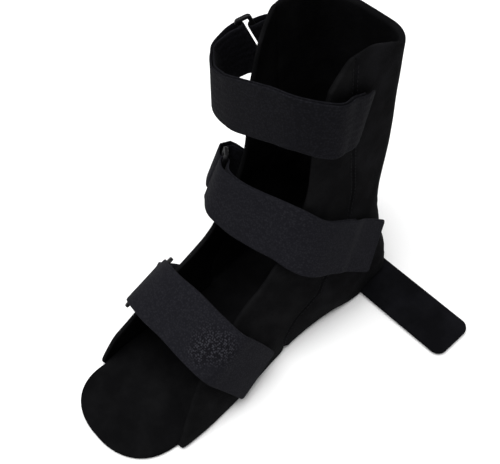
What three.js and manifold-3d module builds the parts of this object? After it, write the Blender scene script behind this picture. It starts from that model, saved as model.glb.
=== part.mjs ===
// Open walking boot for the right side: a soft L-shaped splint with a calf panel, heel cup and sole in
// one piece, two padded side panels, three straps that fold back through rings, and a crosswise heel bar.
// Millimetres. +Z is up, the toe end points to -Y, +X is the inner side.
// The origin is the middle of the sole's underside.
import * as THREE from 'three';
import { mergeVertices } from 'three/addons/utils/BufferGeometryUtils.js';
import Module from 'manifold-3d';

// Overall sizes
const SOLE_LENGTH = 280;
const BACK_HEIGHT = 232;
const INSTEP_HEIGHT = 96;
const EAR_HEIGHT = 21;
const CALF_HALF_WIDTH = 38;
const HEEL_HALF_WIDTH = 52;
const BALL_HALF_WIDTH = 53;
const CLEARANCE = 0.3;

// Walls
const SIDE_WALL = 4.2;
const CALF_PAD = 6;
const SOLE_PAD = 9;
const TOE_PAD = 6;
const TURNED_EDGE = 0.5;

// Toe platform
const TOE_HALF_WIDTH = 46.5;
const TOE_ROUND_LENGTH = 40;
const TOE_ROUND_POWER = 2.3;
const TOE_SHIFT = -3.5;

// Heel bar and its sleeve in the sole
const BAR_HALF_LENGTH = 135;
const BAR_WIDTH = 38;
const BAR_THICKNESS = 4;
const BAR_CORNER = 8;
const BAR_BACK = 25;
const SLEEVE_CLOTH = 1.5;

// Straps, rings and ring tabs
const STRAP_WIDTH = 44;
const STRAP_THICKNESS = 1.8;
const LAYER_GAP = 0.6;
const TAB_WIDTH = 36;
const TAB_THICKNESS = 1.5;
const RING_BAR = 3;
const RING_SLOT = 6.6;
const RING_CORNER = 3;
const TAB_LEAD = 9;

// Faceting
const SECTIONS_PER_ROW = 2;
const PROFILE_POINTS = 9;
const SIDE_POINTS = 6;
const TOE_SECTIONS = 10;
const STRIP_STEP = 7;
const TURN_STEPS = 6;
const GUIDE_STEPS = 600;
const POCKET_MARGIN = 4;

const wasm = await Module();
wasm.setup();

// Sections along the boot, from the top of the calf round the heel to the toes. Each one is a U whose
// bottom is on the back, heel or sole line and whose two ends are on the front edges.
// back, up: the U's bottom. edgeBack, edgeUp: its ends. Both "back" columns are shares of SOLE_LENGTH
// forward of the heel's back, and both "up" columns shares of tall. base, middle, edge, cornerX,
// cornerD and shift are shares of wide. seam is the share of the U's depth where the side panels start.
const SECTIONS = [
  { back: -0.068, up: 1.000, edgeBack: 0.214, edgeUp: 1.004, tall: BACK_HEIGHT, wide: CALF_HALF_WIDTH,
    base: 1.00, middle: 1.00, edge: 0.90, cornerX: 0.63, cornerD: 0.63, shift: -0.105, seam: 0.77 },
  { back: -0.055, up: 0.819, edgeBack: 0.264, edgeUp: 0.819, tall: BACK_HEIGHT, wide: CALF_HALF_WIDTH,
    base: 1.00, middle: 1.01, edge: 0.90, cornerX: 0.63, cornerD: 0.63, shift: -0.105, seam: 0.65 },
  { back: -0.045, up: 0.647, edgeBack: 0.286, edgeUp: 0.647, tall: BACK_HEIGHT, wide: CALF_HALF_WIDTH,
    base: 1.00, middle: 1.02, edge: 0.90, cornerX: 0.63, cornerD: 0.63, shift: -0.105, seam: 0.59 },
  { back: -0.024, up: 0.496, edgeBack: 0.329, edgeUp: 0.526, tall: BACK_HEIGHT, wide: CALF_HALF_WIDTH,
    base: 1.00, middle: 1.05, edge: 0.90, cornerX: 0.65, cornerD: 0.60, shift: -0.100, seam: 0.51 },
  { back: -0.008, up: 0.854, edgeBack: 0.371, edgeUp: 1.135, tall: INSTEP_HEIGHT, wide: HEEL_HALF_WIDTH,
    base: 0.82, middle: 0.86, edge: 0.66, cornerX: 0.66, cornerD: 0.66, shift: -0.050, seam: 0.54 },
  { back: -0.003, up: 0.573, edgeBack: 0.404, edgeUp: 1.057, tall: INSTEP_HEIGHT, wide: HEEL_HALF_WIDTH,
    base: 0.93, middle: 0.90, edge: 0.65, cornerX: 0.76, cornerD: 0.74, shift: -0.030, seam: 0.59 },
  { back: 0.000, up: 0.292, edgeBack: 0.432, edgeUp: 1.000, tall: INSTEP_HEIGHT, wide: HEEL_HALF_WIDTH,
    base: 1.00, middle: 0.93, edge: 0.64, cornerX: 0.74, cornerD: 0.60, shift: -0.010, seam: 0.63 },
  { back: 0.011, up: 0.062, edgeBack: 0.457, edgeUp: 0.953, tall: INSTEP_HEIGHT, wide: HEEL_HALF_WIDTH,
    base: 0.98, middle: 0.94, edge: 0.64, cornerX: 0.66, cornerD: 0.42, shift: 0.000, seam: 0.65 },
  { back: 0.064, up: 0.000, edgeBack: 0.482, edgeUp: 0.906, tall: INSTEP_HEIGHT, wide: HEEL_HALF_WIDTH,
    base: 0.95, middle: 0.97, edge: 0.64, cornerX: 0.25, cornerD: 0.20, shift: 0.000, seam: 0.62 },
  { back: 0.161, up: 0.000, edgeBack: 0.511, edgeUp: 0.870, tall: INSTEP_HEIGHT, wide: HEEL_HALF_WIDTH,
    base: 0.985, middle: 0.95, edge: 0.64, cornerX: 0.15, cornerD: 0.15, shift: 0.000, seam: 0.58 },
  { back: 0.268, up: 0.000, edgeBack: 0.550, edgeUp: 0.818, tall: INSTEP_HEIGHT, wide: BALL_HALF_WIDTH,
    base: 0.875, middle: 0.88, edge: 0.64, cornerX: 0.15, cornerD: 0.15, shift: 0.000, seam: 0.50 },
  { back: 0.375, up: 0.000, edgeBack: 0.600, edgeUp: 0.740, tall: INSTEP_HEIGHT, wide: BALL_HALF_WIDTH,
    base: 0.84, middle: 0.865, edge: 0.68, cornerX: 0.15, cornerD: 0.15, shift: 0.000, seam: 0.33 },
  { back: 0.468, up: 0.000, edgeBack: 0.650, edgeUp: 0.656, tall: INSTEP_HEIGHT, wide: BALL_HALF_WIDTH,
    base: 0.86, middle: 0.885, edge: 0.72, cornerX: 0.10, cornerD: 0.10, shift: 0.000, seam: 0.01 },
  { back: 0.571, up: 0.000, edgeBack: 0.700, edgeUp: 0.568, tall: INSTEP_HEIGHT, wide: BALL_HALF_WIDTH,
    base: 0.925, middle: 0.925, edge: 0.75, cornerX: 0.06, cornerD: 0.06, shift: 0.000, seam: 0.01 },
  { back: 0.679, up: 0.000, edgeBack: 0.754, edgeUp: 0.437, tall: INSTEP_HEIGHT, wide: BALL_HALF_WIDTH,
    base: 0.98, middle: 0.96, edge: 0.81, cornerX: 0.06, cornerD: 0.06, shift: 0.000, seam: 0.015 },
  { back: 0.768, up: 0.000, edgeBack: 0.800, edgeUp: 0.292, tall: INSTEP_HEIGHT, wide: BALL_HALF_WIDTH,
    base: 1.00, middle: 0.98, edge: 0.89, cornerX: 0.06, cornerD: 0.06, shift: 0.000, seam: 0.02 },
  { back: 0.829, up: 0.000, edgeBack: 0.839, edgeUp: 0.125, tall: INSTEP_HEIGHT, wide: BALL_HALF_WIDTH,
    base: 0.987, middle: 0.98, edge: 0.945, cornerX: 0.06, cornerD: 0.06, shift: 0.000, seam: 0.05 },
  { back: 0.850, up: 0.000, edgeBack: 0.855, edgeUp: 0.060, tall: INSTEP_HEIGHT, wide: BALL_HALF_WIDTH,
    base: 0.97, middle: 0.965, edge: 0.95, cornerX: 0.05, cornerD: 0.04, shift: 0.000, seam: 0.10 },
];
const HEEL_CORNER_ROW = 7;
const LAST_WALL_ROW = 12;
const LAST_ROW = SECTIONS.length - 1;

// Shape of the raised ear along the top edge: height share at each share of the depth
const EAR = [
  { depth: 0.00, rise: 0.00 },
  { depth: 0.15, rise: 0.10 },
  { depth: 0.38, rise: 0.60 },
  { depth: 0.62, rise: 1.00 },
  { depth: 0.78, rise: 0.97 },
  { depth: 0.90, rise: 0.55 },
  { depth: 1.00, rise: 0.00 },
];

// Straps. Each is one strip that starts at the inner seam, crosses the open front, folds through its ring on
// the outer side and comes back over itself to the loose end. medial rows run from the loose end
// to the front edge and lateral rows from the ring to the sewn end of its tab, by section number and
// share of depth. front rows cross the opening: x is a share of CALF_HALF_WIDTH, back of SOLE_LENGTH and
// up of BACK_HEIGHT. The last front row is the fold. leanX, leanY and leanZ point across the strap to its
// upper edge: for the medial rows, for each front row and for the lateral rows.
const STRAPS = [
  { name: 'top',
    seam: 0.66,
    medialLean: { leanX: 0.00, leanY: 0.12, leanZ: 1 },
    medial: [
      { section: 0.86, depth: 0.57, lift: 1.0 },
      { section: 0.77, depth: 0.75, lift: 2.6 },
      { section: 0.62, depth: 0.92, lift: 5.2 },
    ],
    front: [
      { x: 0.56, back: 0.282, up: 0.932, leanX: 0.00, leanY: 0.12, leanZ: 1 },
      { x: 0.00, back: 0.298, up: 0.916, leanX: 0.02, leanY: 0.12, leanZ: 1 },
      { x: -0.55, back: 0.306, up: 0.884, leanX: 0.05, leanY: 0.10, leanZ: 1 },
      { x: -1.10, back: 0.306, up: 0.848, leanX: 0.08, leanY: 0.08, leanZ: 1 },
      { x: -1.60, back: 0.288, up: 0.832, leanX: 0.08, leanY: 0.04, leanZ: 1 },
      { x: -1.82, back: 0.244, up: 0.842, leanX: 0.05, leanY: 0.00, leanZ: 1 },
      { x: -1.76, back: 0.204, up: 0.860, leanX: 0.03, leanY: 0.00, leanZ: 1 },
      { x: -1.60, back: 0.168, up: 0.878, leanX: 0.00, leanY: 0.00, leanZ: 1 },
    ],
    lateralLean: { leanX: 0.00, leanY: 0.00, leanZ: 1 },
    lateral: [
      { section: 0.62, depth: 0.46, lift: 2.2 },
      { section: 0.58, depth: 0.30, lift: 0.1 },
    ] },
  { name: 'ankle',
    seam: 0.56,
    medialLean: { leanX: -0.10, leanY: 0.64, leanZ: 0.76 },
    medial: [
      { section: 5.38, depth: 0.28, lift: 2.5 },
      { section: 5.00, depth: 0.42, lift: 1.4 },
      { section: 4.45, depth: 0.62, lift: 2.4 },
      { section: 3.90, depth: 0.86, lift: 5.6 },
    ],
    front: [
      { x: 0.70, back: 0.358, up: 0.526, leanX: -0.05, leanY: 0.58, leanZ: 0.80 },
      { x: 0.12, back: 0.380, up: 0.528, leanX: 0.00, leanY: 0.52, leanZ: 0.84 },
      { x: -0.44, back: 0.393, up: 0.526, leanX: 0.06, leanY: 0.46, leanZ: 0.88 },
      { x: -0.88, back: 0.388, up: 0.524, leanX: 0.10, leanY: 0.42, leanZ: 0.90 },
      { x: -1.12, back: 0.360, up: 0.520, leanX: 0.10, leanY: 0.40, leanZ: 0.90 },
    ],
    lateralLean: { leanX: 0.10, leanY: 0.50, leanZ: 0.86 },
    lateral: [
      { section: 3.70, depth: 0.78, lift: 2.6 },
      { section: 4.05, depth: 0.60, lift: 2.0 },
    ] },
  { name: 'foot',
    seam: 0.34,
    medialLean: { leanX: 0.00, leanY: 0.94, leanZ: 0.34 },
    medial: [
      { section: 12.6, depth: 0.32, lift: 1.0 },
      { section: 12.35, depth: 0.60, lift: 3.0 },
      { section: 12.1, depth: 0.86, lift: 6.0 },
    ],
    front: [
      { x: 1.17, back: 0.655, up: 0.298, leanX: -0.03, leanY: 0.93, leanZ: 0.36 },
      { x: 0.70, back: 0.662, up: 0.322, leanX: 0.00, leanY: 0.92, leanZ: 0.39 },
      { x: 0.00, back: 0.660, up: 0.326, leanX: 0.00, leanY: 0.90, leanZ: 0.42 },
      { x: -0.54, back: 0.660, up: 0.312, leanX: 0.02, leanY: 0.90, leanZ: 0.42 },
      { x: -1.00, back: 0.650, up: 0.280, leanX: 0.04, leanY: 0.90, leanZ: 0.40 },
      { x: -1.26, back: 0.634, up: 0.220, leanX: 0.04, leanY: 0.92, leanZ: 0.35 },
    ],
    lateralLean: { leanX: 0.04, leanY: 0.94, leanZ: 0.32 },
    lateral: [
      { section: 12.22, depth: 0.40, lift: 3.2 },
      { section: 12.14, depth: 0.22, lift: 3.4 },
    ] },
];

// Joins the rows of one column smoothly, without rising past any row.
function monotone(values, position) {
  const last = values.length - 1;
  const left = Math.min(Math.max(Math.floor(position), 0), last - 1);
  const t = Math.min(Math.max(position - left, 0), 1);
  const rise = (i) => values[i + 1] - values[i];
  const slope = (i) => {
    if (i === 0) return rise(0);
    if (i === last) return rise(last - 1);
    const before = rise(i - 1);
    const after = rise(i);
    return before * after <= 0 ? 0 : (2 * before * after) / (before + after);
  };
  const t2 = t * t;
  const t3 = t2 * t;
  return values[left] * (2 * t3 - 3 * t2 + 1) + slope(left) * (t3 - 2 * t2 + t)
    + values[left + 1] * (3 * t2 - 2 * t3) + slope(left + 1) * (t3 - t2);
}

const heelBackY = SOLE_LENGTH / 2;

// One section in real sizes, at any place between two rows.
function sectionAt(position) {
  const column = (read) => monotone(SECTIONS.map(read), position);
  const bottom = new THREE.Vector2(
    heelBackY - column((r) => r.back) * SOLE_LENGTH, column((r) => r.up * r.tall));
  const end = new THREE.Vector2(
    heelBackY - column((r) => r.edgeBack) * SOLE_LENGTH, column((r) => r.edgeUp * r.tall));
  const inward = end.clone().sub(bottom);
  const depth = inward.length();
  inward.divideScalar(depth);
  const along = Math.min(Math.max(position / HEEL_CORNER_ROW, 0), 1);
  return {
    bottom,
    inward,
    depth,
    base: column((r) => r.base * r.wide),
    middle: column((r) => r.middle * r.wide),
    edge: column((r) => r.edge * r.wide),
    cornerX: column((r) => r.cornerX * r.wide),
    cornerD: column((r) => r.cornerD * r.wide),
    shift: column((r) => r.shift * r.wide),
    seam: column((r) => r.seam) * depth,
    pad: (CALF_PAD + (SOLE_PAD - CALF_PAD) * along) / Math.max(Math.abs(inward.x), Math.abs(inward.y)),
    ear: EAR_HEIGHT * Math.max(1 - position, 0),
  };
}

// Half-width of the outer face at a depth, past the corner.
function wallHalfWidth(section, depth) {
  const q = (depth - section.cornerD) / (section.depth - section.cornerD);
  return section.base * (1 - q) * (1 - 2 * q) + section.middle * 4 * q * (1 - q)
    + section.edge * q * (2 * q - 1);
}

// Half-width of the outer face at any depth, corner included.
function outerHalfWidth(section, depth) {
  if (depth >= section.cornerD) return wallHalfWidth(section, depth);
  const rest = 1 - Math.max(depth, 0) / section.cornerD;
  return section.base - section.cornerX * (1 - Math.sqrt(1 - rest * rest));
}

// Turns a section's half-width and depth into a point of the boot.
function place(section, x, depth) {
  const ear = section.ear * monotone(EAR.map((r) => r.rise), earPosition(depth / section.depth));
  return new THREE.Vector3(
    section.shift + x,
    section.bottom.x + section.inward.x * depth,
    section.bottom.y + section.inward.y * depth + ear);
}

function earPosition(share) {
  const last = EAR.length - 1;
  for (let i = 0; i < last; i += 1) {
    if (share <= EAR[i + 1].depth) {
      return i + Math.max(share - EAR[i].depth, 0) / (EAR[i + 1].depth - EAR[i].depth);
    }
  }
  return last;
}

// Spreads a fixed number of points evenly along a polyline.
function spread(points, count) {
  const lengths = [0];
  for (let i = 1; i < points.length; i += 1) {
    lengths.push(lengths[i - 1] + points[i].distanceTo(points[i - 1]));
  }
  const total = lengths[lengths.length - 1];
  const result = [];
  let i = 1;
  for (let k = 0; k < count; k += 1) {
    const want = (total * k) / (count - 1);
    while (i < points.length - 1 && lengths[i] < want) i += 1;
    const t = (want - lengths[i - 1]) / (lengths[i] - lengths[i - 1]);
    result.push(points[i - 1].clone().lerp(points[i], Math.min(Math.max(t, 0), 1)));
  }
  return result;
}

// Half of the calf, heel and sole panel's profile, from its middle line to the seam.
function halfProfile(section, inset, floor, top) {
  const cornerX = Math.max(section.cornerX - inset, 2);
  const cornerD = Math.max(section.cornerD - floor, 2);
  const flatEnd = section.base - inset - cornerX;
  const fine = 24;
  const curve = [];
  for (let i = 0; i <= fine; i += 1) {
    const angle = (Math.PI / 2) * (i / fine);
    const depth = floor + cornerD * (1 - Math.cos(angle));
    if (depth > top) break;
    const follow = wallHalfWidth(section, Math.max(depth, section.cornerD)) - section.base;
    curve.push(new THREE.Vector2(flatEnd + follow + cornerX * Math.sin(angle), depth));
  }
  const reached = curve[curve.length - 1].y;
  for (let i = 1; i <= fine; i += 1) {
    const depth = reached + ((top - reached) * i) / fine;
    const wall = wallHalfWidth(section, Math.max(depth, section.cornerD)) - inset;
    const corner = Math.min((depth - floor) / cornerD, 1);
    const x = corner < 1 ? wall - cornerX * (1 - Math.sqrt(1 - (1 - corner) ** 2)) : wall;
    if (depth > reached) curve.push(new THREE.Vector2(x, depth));
  }
  return [new THREE.Vector2(0, floor), ...spread(curve, PROFILE_POINTS)];
}

// Mirrors a half profile and places both halves in one row of points.
function placeRow(section, half) {
  const left = half.slice(1).reverse().map((p) => place(section, -p.x, p.y));
  return [...left, ...half.map((p) => place(section, p.x, p.y))];
}

// Builds a closed geometry between two equal grids of points.
function between(outer, inner) {
  const rows = outer.length;
  const columns = outer[0].length;
  const points = [...outer.flat(), ...inner.flat()];
  const index = [];
  const at = (side, i, j) => side * rows * columns + i * columns + j;
  const quad = (a, b, c, d) => index.push(a, b, c, a, c, d);
  for (let i = 0; i < rows - 1; i += 1) {
    for (let j = 0; j < columns - 1; j += 1) {
      quad(at(0, i, j), at(0, i, j + 1), at(0, i + 1, j + 1), at(0, i + 1, j));
      quad(at(1, i, j), at(1, i + 1, j), at(1, i + 1, j + 1), at(1, i, j + 1));
    }
    const last = columns - 1;
    quad(at(0, i, 0), at(0, i + 1, 0), at(1, i + 1, 0), at(1, i, 0));
    quad(at(0, i, last), at(1, i, last), at(1, i + 1, last), at(0, i + 1, last));
  }
  for (let j = 0; j < columns - 1; j += 1) {
    const end = rows - 1;
    quad(at(0, 0, j), at(1, 0, j), at(1, 0, j + 1), at(0, 0, j + 1));
    quad(at(0, end, j), at(0, end, j + 1), at(1, end, j + 1), at(1, end, j));
  }
  return facingOut(points, index);
}

// Makes a geometry, turned so that its faces point out.
function facingOut(points, index) {
  let volume = 0;
  for (let i = 0; i < index.length; i += 3) {
    const [a, b, c] = [points[index[i]], points[index[i + 1]], points[index[i + 2]]];
    volume += a.dot(b.clone().cross(c));
  }
  const turned = volume < 0 ? index.slice().reverse() : index;
  const geometry = new THREE.BufferGeometry().setFromPoints(points);
  geometry.setIndex(turned);
  geometry.computeVertexNormals();
  return geometry;
}

function toManifold(geometry) {
  const bare = geometry.clone();
  bare.deleteAttribute('normal');
  bare.deleteAttribute('uv');
  const merged = mergeVertices(bare, 1e-5);
  return new wasm.Manifold(new wasm.Mesh({
    numProp: 3,
    vertProperties: new Float32Array(merged.attributes.position.array),
    triVerts: new Uint32Array(merged.index.array),
  }));
}

function toGeometry(manifold) {
  const mesh = manifold.getMesh();
  const geometry = new THREE.BufferGeometry();
  geometry.setAttribute('position', new THREE.BufferAttribute(new Float32Array(mesh.vertProperties), 3));
  geometry.setIndex(new THREE.BufferAttribute(new Uint32Array(mesh.triVerts), 1));
  geometry.computeVertexNormals();
  return geometry;
}

function rowPositions(first, last) {
  const steps = Math.round((last - first) * SECTIONS_PER_ROW);
  return Array.from({ length: steps + 1 }, (_, i) => first + ((last - first) * i) / steps);
}

// One side panel as a wall between the seam and the front edge. grow makes the pocket that the
// central panel leaves for it, which also runs past the panel's two ends.
function sidePanel(side, grow) {
  const outer = [];
  const inner = [];
  for (const position of rowPositions(0, LAST_ROW)) {
    const section = sectionAt(position);
    const onSole = section.seam < TOE_PAD / 2;
    const from = grow > 0 ? section.seam - grow - (onSole ? TOE_PAD / 2 : 0) : section.seam;
    const to = section.depth + grow;
    const innerGrow = onSole ? grow : grow * POCKET_MARGIN;
    const outerRow = [];
    const innerRow = [];
    for (let j = 0; j < SIDE_POINTS; j += 1) {
      const depth = from + ((to - from) * j) / (SIDE_POINTS - 1);
      const wall = wallHalfWidth(section, Math.max(depth, section.cornerD));
      outerRow.push(place(section, side * (outerHalfWidth(section, depth) + grow * POCKET_MARGIN), depth));
      innerRow.push(place(section, side * (wall - SIDE_WALL - innerGrow), depth));
    }
    outer.push(outerRow);
    inner.push(innerRow);
  }
  for (const row of [outer[0], inner[0]]) row.forEach((point) => { point.z += grow * POCKET_MARGIN; });
  for (const row of [outer.at(-1), inner.at(-1)]) row.forEach((point) => { point.y -= grow; });
  return between(outer, inner);
}

// Half-width of the toe platform at a distance from the side panels' front corners.
function toeHalfWidth(forward) {
  const toRound = SOLE_LENGTH * (1 - SECTIONS[LAST_ROW].back) - TOE_ROUND_LENGTH;
  const share = Math.max(forward - toRound, 0) / TOE_ROUND_LENGTH;
  return TOE_HALF_WIDTH * (1 - share ** TOE_ROUND_POWER) ** (1 / TOE_ROUND_POWER);
}

// Calf, heel and sole in one, with the toe platform in front.
function centralPanel() {
  const outer = [];
  const inner = [];
  for (const position of rowPositions(0, LAST_WALL_ROW - 0.5)) {
    const section = sectionAt(position);
    const top = Math.max(section.seam, section.pad + TURNED_EDGE);
    outer.push(placeRow(section, halfProfile(section, 0, 0, top)));
    inner.push(placeRow(section, halfProfile(section, SIDE_WALL, section.pad, top)));
  }
  const slabRow = (back, halfWidth, pad, shift) => {
    const section = {
      bottom: new THREE.Vector2(heelBackY - back * SOLE_LENGTH, 0), inward: new THREE.Vector2(0, 1),
      depth: INSTEP_HEIGHT, base: halfWidth, middle: halfWidth, edge: halfWidth,
      cornerX: 2, cornerD: 2, shift, ear: 0,
    };
    outer.push(placeRow(section, halfProfile(section, 0, 0, pad + TURNED_EDGE)));
    inner.push(placeRow(section, halfProfile(section, 2, pad, pad + TURNED_EDGE)));
  };
  const padAt = (back) => {
    const start = SECTIONS[LAST_WALL_ROW].back;
    const share = Math.min((back - start) / (SECTIONS[LAST_ROW].back - start), 1);
    return SOLE_PAD + (TOE_PAD - SOLE_PAD) * share;
  };
  for (const position of rowPositions(LAST_WALL_ROW, LAST_ROW)) {
    const section = sectionAt(position);
    const back = (heelBackY - section.bottom.x) / SOLE_LENGTH;
    slabRow(back, section.base - SIDE_WALL - CLEARANCE, padAt(back), 0);
  }
  const start = SECTIONS[LAST_ROW].back;
  for (let i = 1; i <= TOE_SECTIONS; i += 1) {
    const share = Math.sin(((Math.PI / 2) * i) / (TOE_SECTIONS + 0.5));
    const back = start + (1 - start) * share;
    slabRow(back, toeHalfWidth((back - start) * SOLE_LENGTH), TOE_PAD, TOE_SHIFT * share);
  }
  let body = toManifold(between(outer, inner));
  for (const side of [-1, 1]) body = body.subtract(toManifold(sidePanel(side, CLEARANCE)));
  const slot = new THREE.BoxGeometry(
    BAR_HALF_LENGTH * 2, BAR_WIDTH + 2 * CLEARANCE, BAR_THICKNESS + 2 * CLEARANCE);
  slot.translate(0, heelBackY - BAR_BACK, SLEEVE_CLOTH + CLEARANCE + BAR_THICKNESS / 2);
  return toGeometry(body.subtract(toManifold(slot)));
}

function heelBar() {
  const shape = new THREE.Shape();
  const x = BAR_HALF_LENGTH;
  const y = BAR_WIDTH / 2;
  const r = BAR_CORNER;
  shape.moveTo(-x + r, -y);
  shape.lineTo(x - r, -y);
  shape.absarc(x - r, -y + r, r, -Math.PI / 2, 0);
  shape.absarc(x - r, y - r, r, 0, Math.PI / 2);
  shape.absarc(-x + r, y - r, r, Math.PI / 2, Math.PI);
  shape.absarc(-x + r, -y + r, r, Math.PI, 1.5 * Math.PI);
  return new THREE.ExtrudeGeometry(shape, { depth: BAR_THICKNESS, bevelEnabled: false, curveSegments: 6 });
}

// A point on a side panel's outer face, with the direction that leads away from it and, on the face,
// the way across that is nearest to lean.
function panelPoint(side, row, lean) {
  const section = sectionAt(row.section);
  const depth = row.depth * section.depth;
  const at = (s, d) => place(s, side * outerHalfWidth(s, d), d);
  const point = at(section, depth);
  const alongDepth = at(section, depth + 1).sub(point);
  const next = sectionAt(row.section + 0.05);
  const alongBoot = at(next, row.depth * next.depth).sub(point);
  const away = alongDepth.clone().cross(alongBoot).normalize();
  if (away.x * side < 0) away.negate();
  return { point, away, across: lean.clone().addScaledVector(away, -lean.dot(away)).normalize() };
}

// A smooth line through points, each with a way across. Every step along it has a point on the strip's
// inner face, its direction, the way across and the way out.
function guide(points, across) {
  const path = new THREE.CatmullRomCurve3(points, false, 'centripetal');
  const lean = new THREE.CatmullRomCurve3(across, false, 'catmullrom');
  const steps = [];
  let length = 0;
  for (let i = 0; i <= GUIDE_STEPS; i += 1) {
    const t = i / GUIDE_STEPS;
    const point = path.getPoint(t);
    if (i > 0) length += point.distanceTo(steps[i - 1].point);
    const ahead = path.getTangent(t);
    const side = lean.getPoint(t);
    side.addScaledVector(ahead, -side.dot(ahead)).normalize();
    steps.push({ length, point, ahead, across: side, out: side.clone().cross(ahead).normalize() });
  }
  const atLength = (wanted) => steps.find((step) => step.length >= wanted - 1e-6) ?? steps[GUIDE_STEPS];
  const rowLength = (row) => steps[Math.round((row / (points.length - 1)) * GUIDE_STEPS)].length;
  return { atLength, rowLength, length };
}

function leanOf(row) {
  return new THREE.Vector3(row.leanX, row.leanY, row.leanZ).normalize();
}

// The points and ways across of rows on a side panel's outer face.
function panelRows(side, rows, lean) {
  const found = rows.map((row) => ({ ...panelPoint(side, row, leanOf(lean)), lift: row.lift }));
  return {
    points: found.map(({ point, away, lift }) => point.addScaledVector(away, CLEARANCE + lift)),
    across: found.map(({ across }) => across),
  };
}

// A flat strip that follows a list of stations, each with a centre, a way across and a face direction.
function strip(stations, width, thickness) {
  const row = (face) => (s) => [-1, 1].map((edge) => s.centre.clone()
    .addScaledVector(s.across, (edge * width) / 2)
    .addScaledVector(s.face, (face * thickness) / 2));
  return between(stations.map(row(1)), stations.map(row(-1)));
}

// Stations of a strip that runs from one length to another, turns round a bar and comes back over itself.
function foldedStations(line, underStart, fold, overEnd, thickness, turnRadius) {
  const lower = CLEARANCE + thickness / 2;
  const flat = lower + thickness + LAYER_GAP;
  const spreadLength = 22;
  const upper = (length) => {
    const near = Math.max(1 - Math.abs(fold - length) / spreadLength, 0);
    const smooth = near * near * (3 - 2 * near);
    const past = Math.sign(fold - underStart) * (underStart - length);
    const down = Math.min(Math.max(past / 10, 0), 1);
    return flat + (lower + 2 * turnRadius - flat) * smooth - (thickness + LAYER_GAP) * down;
  };
  const lengths = (from, to) => {
    const count = Math.max(Math.round(Math.abs(to - from) / STRIP_STEP), 2);
    return Array.from({ length: count + 1 }, (_, i) => from + ((to - from) * i) / count);
  };
  const station = (length, height, face) => {
    const step = line.atLength(length);
    return { centre: step.point.clone().addScaledVector(step.out, height), across: step.across, face };
  };
  const under = lengths(underStart, fold).map((s) => {
    const step = line.atLength(s);
    return station(s, lower, step.out.clone().negate());
  });
  const end = line.atLength(fold);
  const heading = end.ahead.clone().multiplyScalar(Math.sign(fold - underStart));
  const turn = [];
  for (let i = 1; i < TURN_STEPS; i += 1) {
    const angle = (Math.PI * i) / TURN_STEPS;
    const face = end.out.clone().multiplyScalar(-Math.cos(angle))
      .addScaledVector(heading, Math.sin(angle));
    const centre = end.point.clone().addScaledVector(end.out, lower + turnRadius)
      .addScaledVector(face, turnRadius);
    turn.push({ centre, across: end.across, face });
  }
  const over = lengths(fold, overEnd).map((s) => station(s, upper(s), line.atLength(s).out));
  return [...under, ...turn, ...over];
}

const webbing = new THREE.MeshStandardMaterial({ color: 0x1f2023, roughness: 0.85, metalness: 0 });
const panelCloth = new THREE.MeshStandardMaterial({ color: 0x151517, roughness: 0.95, metalness: 0 });
const sidePanelCloth = new THREE.MeshStandardMaterial({ color: 0x18181a, roughness: 0.92, metalness: 0 });
const barCloth = new THREE.MeshStandardMaterial({ color: 0x17171a, roughness: 0.9, metalness: 0 });
const ringPlastic = new THREE.MeshStandardMaterial({ color: 0x0c0c0d, roughness: 0.4, metalness: 0 });

const group = new THREE.Group();

function add(name, geometry, material, parent = group) {
  const mesh = new THREE.Mesh(geometry, material);
  mesh.name = name;
  parent.add(mesh);
  return mesh;
}

// The ring that a strap folds through: a flat loop with its slot wide enough for strap and tab.
function ringGeometry() {
  const x = STRAP_WIDTH / 2 + CLEARANCE + 1 + RING_BAR;
  const y = RING_SLOT / 2 + RING_BAR;
  const shape = new THREE.Shape();
  const rounded = (path, a, b, r) => {
    path.moveTo(-a + r, -b);
    path.lineTo(a - r, -b);
    path.absarc(a - r, -b + r, r, -Math.PI / 2, 0);
    path.absarc(a - r, b - r, r, 0, Math.PI / 2);
    path.absarc(-a + r, b - r, r, Math.PI / 2, Math.PI);
    path.absarc(-a + r, -b + r, r, Math.PI, 1.5 * Math.PI);
  };
  rounded(shape, x, y, RING_CORNER);
  const slot = new THREE.Path();
  rounded(slot, x - RING_BAR, y - RING_BAR, 1);
  shape.holes.push(slot);
  const geometry = new THREE.ExtrudeGeometry(
    shape, { depth: RING_BAR, bevelEnabled: false, curveSegments: 4 });
  geometry.translate(0, 0, -RING_BAR / 2);
  return geometry;
}

// Which row, in parts of a row, lies at a share of depth.
function rowAtDepth(rows, depth) {
  const before = rows.findLastIndex((row) => row.depth <= depth);
  const after = rows[before + 1];
  return before + (depth - rows[before].depth) / (after.depth - rows[before].depth);
}

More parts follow.
